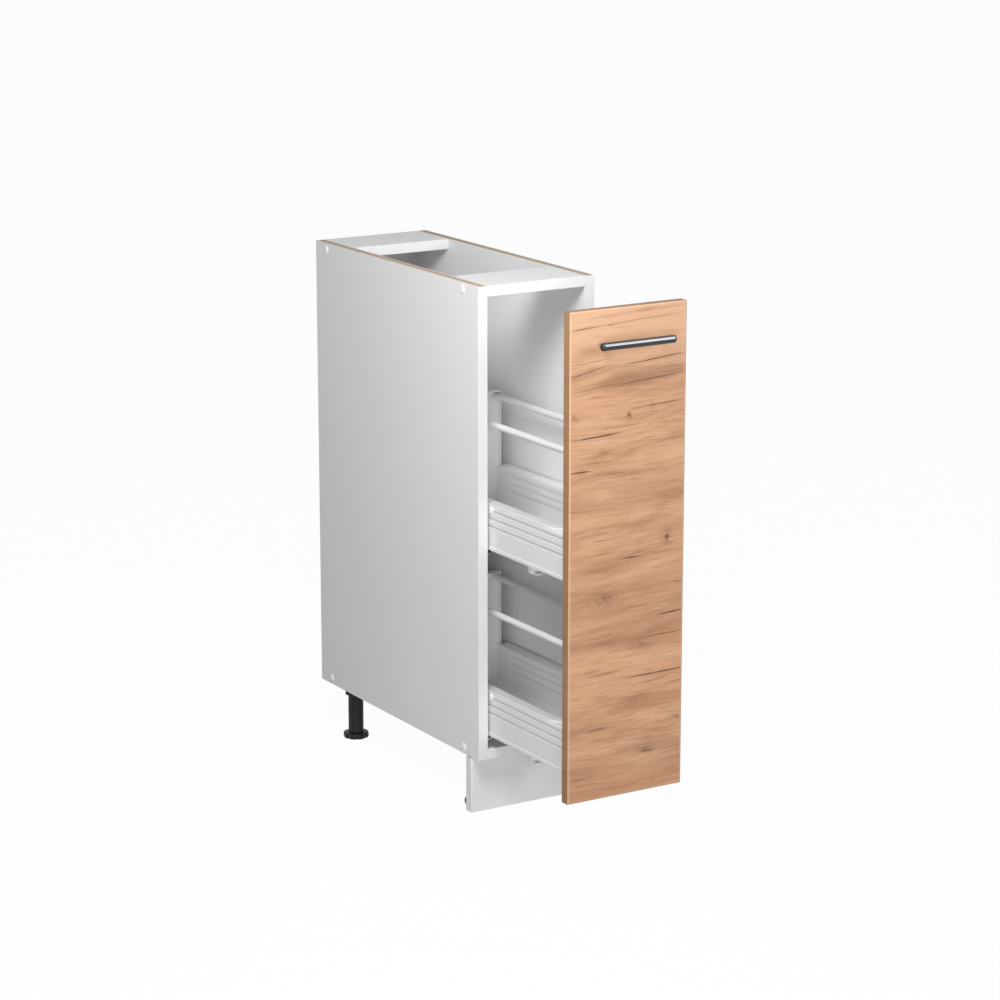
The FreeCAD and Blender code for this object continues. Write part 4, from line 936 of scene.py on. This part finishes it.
def crossHead(bm, radius, rise, place):  # pan head with a cross recess
    shape = screwHeads
    before = set(bm.verts)
    grid = ops.create_grid(bm, x_segments=3, y_segments=3, size=1)["verts"]
    for axis in (0, 1):  # the two inner lines, a third from the middle, draw in to the width of the slot
        vec = [1, 1, 1]
        vec[axis] = 3 * shape["slotWide"] / shape["slotLong"]
        ops.scale(bm, vec=vec, verts=[vert for vert in grid if abs(vert.co[axis]) < 0.5])
    ops.scale(bm, vec=(shape["slotLong"] * radius * mm,) * 2 + (1,), verts=grid)
    ops.translate(bm, vec=(0, 0, rise * mm), verts=grid)
    faces = list({face for vert in grid for face in vert.link_faces})
    plus = [face for face in faces if min(map(abs, face.calc_center_median().xy)) < pointGap * mm]
    rim = [edge for edge in {edge for vert in grid for edge in vert.link_edges} if len(edge.link_faces) == 1]
    lifted = Matrix.Translation((0, 0, shape["shoulderUp"] * rise * mm))
    lifted = lifted @ Matrix.Rotation(math.radians(shape["twist"]), 4, "Z")
    ring = ops.create_circle(bm, segments=shape["facets"], radius=shape["shoulder"] * radius * mm,
                             matrix=lifted)["verts"]
    ringEdges = list({edge for vert in ring for edge in vert.link_edges})
    ops.bridge_loops(bm, edges=rim + ringEdges)
    for height in shape["skirt"]:
        grown = ops.extrude_edge_only(bm, edges=ringEdges)["geom"]
        ring = ofKind(grown, bmesh.types.BMVert)
        ringEdges = [edge for edge in ofKind(grown, bmesh.types.BMEdge) if set(edge.verts) <= set(ring)]
        wide = max(vert.co.xy.length for vert in ring)
        ops.scale(bm, vec=(radius * mm / wide,) * 2 + (1,), verts=ring)
        ops.translate(bm, vec=(0, 0, height * rise * mm - ring[0].co.z), verts=ring)
    ops.contextual_create(bm, geom=ringEdges)
    sunk = ops.extrude_face_region(bm, geom=plus)["geom"]
    ops.delete(bm, geom=plus, context="FACES_ONLY")
    ops.translate(bm, vec=(0, 0, -shape["slotDeep"] * rise * mm), verts=ofKind(sunk, bmesh.types.BMVert))
    ops.transform(bm, matrix=place, verts=[vert for vert in bm.verts if vert not in before])


def makeScrewHeads():
    for name, group in screwSets.items():
        bm = bmesh.new()
        for spot, axis in group["places"]:
            crossHead(bm, group["radius"], group["rise"], axisPlace(spot, axis))
        finishPiece(bm, name, group["body"], "zinc_steel", nailSteel, group["node"],
                    sharp=screwHeads["sharp"])


backNails = {"face": carcassFront + 500.0, "side": 92.0, "low": 104.0, "high": 796.0, "rows": 7,
             "across": (-50.0, 0.0, 50.0), "ends": (98.0, 802.0), "steps": 16,
             "profile": [(0, 0.45), (1.2, 0.42), (1.9, 0.28), (2.1, 0), (0, 0)]}


def makeBackNails():
    step = (backNails["high"] - backNails["low"]) / (backNails["rows"] - 1)
    spots = [(side * backNails["side"], backNails["low"] + step * row)
             for side in hand.values() for row in range(backNails["rows"])]
    spots += [(across, up) for across in backNails["across"] for up in backNails["ends"]]
    places = [((across, backNails["face"], up), (0, 1, 0)) for across, up in spots]
    turnedPiece("backNailHeads", backNails, places, "carcass", "zinc_steel", nailSteel)


makeScrewCaps()
for corner in ("front_left", "front_right", "rear_left", "rear_right"):
    makeLeg(corner)
    makeFoot(corner)
print("legs, feet and caps ready")
makeHandle()
for tier in tierBases:
    for side in hand:
        makeGalleryRail(tier, side)
for tier in tierBases:
    makeTray(tier)
makeGlides()
makeCatches()
makeBumpers()
makeScrewHeads()
makeBackNails()
print("tiers, handle and fittings ready")
